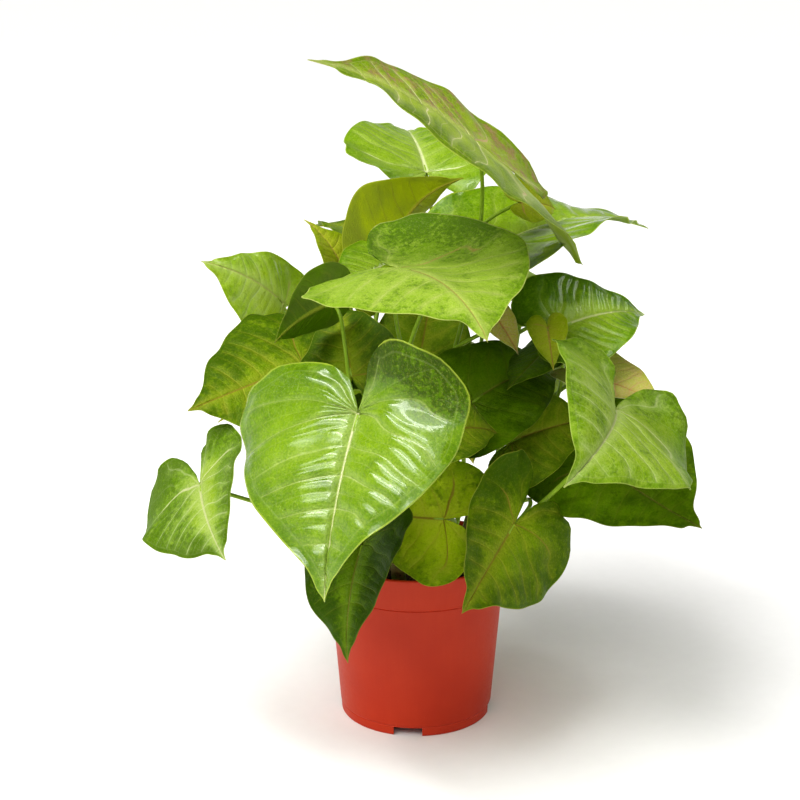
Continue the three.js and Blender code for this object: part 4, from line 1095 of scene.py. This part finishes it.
def blade_mesh(leaf, axes, skin, detail):
    """Both faces of the blade, closed round the margin: points, faces with their
    material, and the attributes that its materials read."""
    halves = [half_blade(leaf, axes, skin, side, detail) for side in (0, 1)]
    fields = {key: np.concatenate([h[key].reshape(-1) for h in halves])
              for key in ("along", "across", "vein", "gap", "edge", "band", "deep", "flush")}
    relief = np.concatenate([quilting(leaf, skin, axes[1], h).ravel() for h in halves])
    points = np.concatenate([h["points"].reshape(-1, 3) for h in halves])
    columns, rows = halves[0]["out"].shape
    faces = np.vstack([grid_faces(columns, rows, 0, False),
                       grid_faces(columns, rows, columns * rows, True)])
    key = np.round(points * 200).astype(np.int64)
    _, first, place = np.unique(key, axis=0, return_index=True, return_inverse=True)
    place = place.ravel()
    points, relief = points[first], relief[first]
    fields = {name: values[first] for name, values in fields.items()}
    faces = place[faces]
    middle = points + point_normals(points, faces) * relief[:, None]
    normals = point_normals(middle, faces)
    half = BLADE_THICKNESS / 2 * (0.55 + 0.45 * smoothstep(0, 2, fields["edge"]))
    taper = np.clip(1 - fields["along"] / axes[1], 0, 1)
    rib_width = 0.35 + 0.75 * taper
    rib = np.exp(-(fields["across"] / (0.9 * rib_width)) ** 2) * (fields["along"] > -1)
    upper = middle + normals * (half - 0.25 * rib)[:, None]
    lower = middle - normals * (half + 0.9 * rib_width * rib)[:, None]
    count = len(middle)
    top = clean_faces(faces)
    bottom = [[i + count for i in reversed(face)] for face in top]
    rim = rim_faces(top, count)
    attributes = {
        "blade": np.stack([fields["along"], fields["across"], 0 * fields["along"]], 1) * MM,
        "vein": fields["vein"], "gap": fields["gap"],
        "rib": np.abs(fields["across"]) / rib_width, "band": fields["band"],
        "deep": fields["deep"], "flush": fields["flush"],
    }
    attributes["rib"] = np.where(fields["along"] < -0.5, 9, attributes["rib"])
    attributes = {name: np.concatenate([v, v]) for name, v in attributes.items()}
    materials = [0] * len(top) + [1] * len(bottom) + [0] * len(rim)
    return np.vstack([upper, lower]), top + bottom + rim, materials, attributes


def rim_faces(top, shift):
    """Quads that close the blade between the free edges of its two faces."""
    seen = {}
    for face in top:
        for a, b in zip(face, face[1:] + face[:1]):
            if (b, a) in seen:
                del seen[(b, a)]
            else:
                seen[(a, b)] = True
    return [[b, a, a + shift, b + shift] for a, b in seen]


# ------------------------------------------------------------------------ leaf: the stalk
def stalk_guide(leaf, axes):
    """Points the stalk runs through, from its stem up behind the blade to the midrib."""
    at, _, x, _, n = axes
    start = stem_point(STEMS[leaf["stem"] - 1], leaf["start"])
    end = at - 0.9 * n
    arrive = unit(0.45 * x + 0.9 * n)
    gap = np.linalg.norm(end - start)
    away = np.array([end[0] - start[0], end[1] - start[1], 0])
    if np.linalg.norm(away) > 1:
        away = unit(away)
    leave = unit(0.55 * away + np.array([0, 0, 1]))
    bend = np.array(leaf["bend"], float)
    first = start + leave * 0.38 * gap + bend
    second = end - arrive * min(0.3 * gap, 30) + 0.5 * bend
    t = np.array([0, 0.12, 0.3, 0.5, 0.7, 0.86, 0.95, 1])[:, None]
    sweep = ((1 - t) ** 3 * start + 3 * t * (1 - t) ** 2 * first
             + 3 * t ** 2 * (1 - t) * second + t ** 3 * end)
    under = blade_points(leaf, axes, np.array([0.1]), np.array([0.0]), np.array([0.0]),
                         np.array([0.5]))[0] - 0.7 * n
    return np.vstack([sweep, under])


def smooth_path(guide, steps):
    """Evenly spaced points on a centripetal Catmull-Rom curve through the guide."""
    ends = np.vstack([2 * guide[0] - guide[1], guide, 2 * guide[-1] - guide[-2]])
    fine = []
    for p0, p1, p2, p3 in zip(ends, ends[1:], ends[2:], ends[3:]):
        d0, d1, d2 = (max(np.sqrt(np.linalg.norm(b - a)), 1e-4)
                      for a, b in ((p0, p1), (p1, p2), (p2, p3)))
        m1 = ((p1 - p0) / d0 - (p2 - p0) / (d0 + d1) + (p2 - p1) / d1) * d1
        m2 = ((p2 - p1) / d1 - (p3 - p1) / (d1 + d2) + (p3 - p2) / d2) * d1
        for t in np.arange(0, 1, 0.05):
            fine.append((2 * t ** 3 - 3 * t ** 2 + 1) * p1 + (t ** 3 - 2 * t ** 2 + t) * m1
                        + (3 * t ** 2 - 2 * t ** 3) * p2 + (t ** 3 - t ** 2) * m2)
    fine = np.array(fine + [guide[-1]])
    run = np.concatenate([[0], np.cumsum(np.linalg.norm(np.diff(fine, axis=0), axis=1))])
    wanted = np.linspace(0, run[-1], steps + 1)
    return np.stack([np.interp(wanted, run, fine[:, c]) for c in range(3)], 1)


def stalk_mesh(leaf, axes):
    """The round stalk, stouter where it clasps the stem: points, faces, and each point's
    share of the way up."""
    path = smooth_path(stalk_guide(leaf, axes), STALK_STEPS)
    tangent = np.gradient(path, axis=0)
    across = unit(np.cross(tangent[0], [0, 0, 1.0]))
    points, shares = [], []
    for i, (centre, along) in enumerate(zip(path, tangent)):
        along = unit(along)
        across = unit(across - (across @ along) * along)
        up = np.cross(along, across)
        t = i / STALK_STEPS
        radius = STALK_BASE_RADIUS * (1 - t) + STALK_END_RADIUS * t
        radius += 0.4 * max(0, 1 - 6 * t)
        for s in range(STALK_SIDES):
            turn = 2 * math.pi * s / STALK_SIDES
            points.append(centre + radius * (math.cos(turn) * across + math.sin(turn) * up))
            shares.append(t)
    faces = []
    for i in range(STALK_STEPS):
        for s in range(STALK_SIDES):
            a = i * STALK_SIDES + s
            b = i * STALK_SIDES + (s + 1) % STALK_SIDES
            faces.append([a, b, b + STALK_SIDES, a + STALK_SIDES])
    last = STALK_STEPS * STALK_SIDES
    faces.append(list(reversed(range(STALK_SIDES))))
    faces.append([last + s for s in range(STALK_SIDES)])
    return np.array(points), faces, np.array(shares)


def make_leaf(leaf, materials, limits):
    """A blade with its stalk, as one mesh, kept within the limits."""
    skin = SKINS[leaf["skin"]]
    axes = leaf_axes(leaf)
    detail = FINE_GRID if axes[1] > LARGE_LEAF else COARSE_GRID
    blade, blade_faces, face_materials, attributes = blade_mesh(leaf, axes, skin, detail)
    stalk, stalk_faces, shares = stalk_mesh(leaf, axes)
    shift = len(blade)
    faces = blade_faces + [[i + shift for i in face] for face in stalk_faces]
    face_materials = face_materials + [2] * len(stalk_faces)
    for name, values in attributes.items():
        padding = np.zeros((len(stalk),) + values.shape[1:])
        attributes[name] = np.concatenate([values, padding])
    attributes["along"] = np.concatenate([np.zeros(shift), shares])
    points = np.clip(np.vstack([blade, stalk]), *limits)
    upper, under, stalk_material = materials[leaf["skin"]]
    made = piece(leaf["name"] + "_grown", points, faces, [upper, under, stalk_material],
                 face_materials, attributes)
    seat(made, leaf["name"])


# ----------------------------------------------------------------------------- the stage
# Metres and degrees.
FLOOR_RADIUS = 40
PLANT_HEART = Vector((0, 0, 0.2))
CAMERA_PLACE = (0, -0.85, 0.40)
CAMERA_TILT = 15.1        # downwards
CAMERA_TURN = 0.58        # to the left
SENSOR_WIDTH = 36         # millimetres, as is the lens
CAMERA_LENS = 76.6


def make_floor():
    """A wide disc, so that no edge of it shows."""
    disc = bmesh.new()
    bmesh.ops.create_circle(disc, cap_ends=True, segments=96, radius=FLOOR_RADIUS)
    mesh = bpy.data.meshes.new("studio_floor")
    disc.to_mesh(mesh)
    disc.free()
    mesh.materials.append(studio_floor())
    floor = bpy.data.objects.new("studio_floor", mesh)
    bpy.context.scene.collection.objects.link(floor)


def lamp(name, kind, place, power, **settings):
    """A light at a place, aimed at the heart of the plant."""
    light = bpy.data.lights.new(name, kind)
    light.energy = power
    for key, value in settings.items():
        setattr(light, key, value)
    made = bpy.data.objects.new(name, light)
    made.location = place
    aim = PLANT_HEART - made.location
    made.rotation_euler = aim.to_track_quat("-Z", "Y").to_euler()
    bpy.context.scene.collection.objects.link(made)


def light_stage():
    """A pale wrap-around backdrop under a darker ceiling, soft light from the front left,
    and long strips whose reflections streak the glossy leaves."""
    world = bpy.data.worlds.new("studio")
    world.use_nodes = True
    tree = world.node_tree
    tree.nodes.clear()
    rays = add(tree, "SeparateXYZ", {0: add(tree, "TexCoord")}).node.outputs
    height = add(tree, "Math", {0: rays[2]}, operation="ABSOLUTE")
    wall = add(tree, "MapRange", {0: height, 1: 0.08, 2: 0.3}, **SMOOTH)
    ceiling = add(tree, "MapRange", {0: height, 1: 0.3, 2: 0.75}, **SMOOTH)
    tone = add(tree, "Mix", {0: wall, 6: colour("#ffffff"), 7: colour("#a9a9a8")}, **MIX)
    tone = add(tree, "Mix", {0: ceiling, 6: tone, 7: colour("#404040")}, **MIX)
    backdrop = add(tree, "Background", {"Color": tone, "Strength": 1.0})
    add(tree, "OutputWorld", {"Surface": backdrop})
    bpy.context.scene.world = world
    lamp("key", "SUN", (-0.9, -0.72, 1.85), 1.5, angle=math.radians(45))
    strip = dict(shape="RECTANGLE", size=2.6, size_y=0.35)
    lamp("upper_strip", "AREA", (-1.24, -0.99, 2.75), 34, **strip)
    lamp("lower_strip", "AREA", (-1.35, -1.75, 2.25), 12, **strip)
    lamp("side_strip", "AREA", (1.35, 0.3, 1.75), 5.5, shape="RECTANGLE", size=1.1, size_y=0.5)
    lamp("broad", "SUN", (-0.2, -0.7, 1.6), 1.5, angle=math.radians(75))
    bpy.context.scene.view_settings.view_transform = "Standard"
    bpy.context.scene.view_settings.look = "Medium High Contrast"


def make_camera():
    """A little above the top of the plant, looking down on it."""
    data = bpy.data.cameras.new("camera")
    data.sensor_width = SENSOR_WIDTH
    data.lens = CAMERA_LENS
    camera = bpy.data.objects.new("camera", data)
    camera.location = CAMERA_PLACE
    camera.rotation_euler = (math.radians(90 - CAMERA_TILT), 0, math.radians(CAMERA_TURN))
    bpy.context.scene.collection.objects.link(camera)
    bpy.context.scene.camera = camera


# -------------------------------------------------------------------------- the assembly
make_camera()
make_floor()
light_stage()
make_pot()
make_soil()
shoot_skin = stem_skin()
for number, stem in enumerate(STEMS, 1):
    make_stem(number, stem, shoot_skin)
stalk_green = stalk_skin()
leaf_materials = {name: (leaf_upper(name, skin), leaf_under(name, skin), stalk_green)
                  for name, skin in SKINS.items()}
limits = [np.array(corner) / MM for corner in CAD_BOX]
for leaf_row in LEAVES:
    make_leaf(leaf_row, leaf_materials, limits)
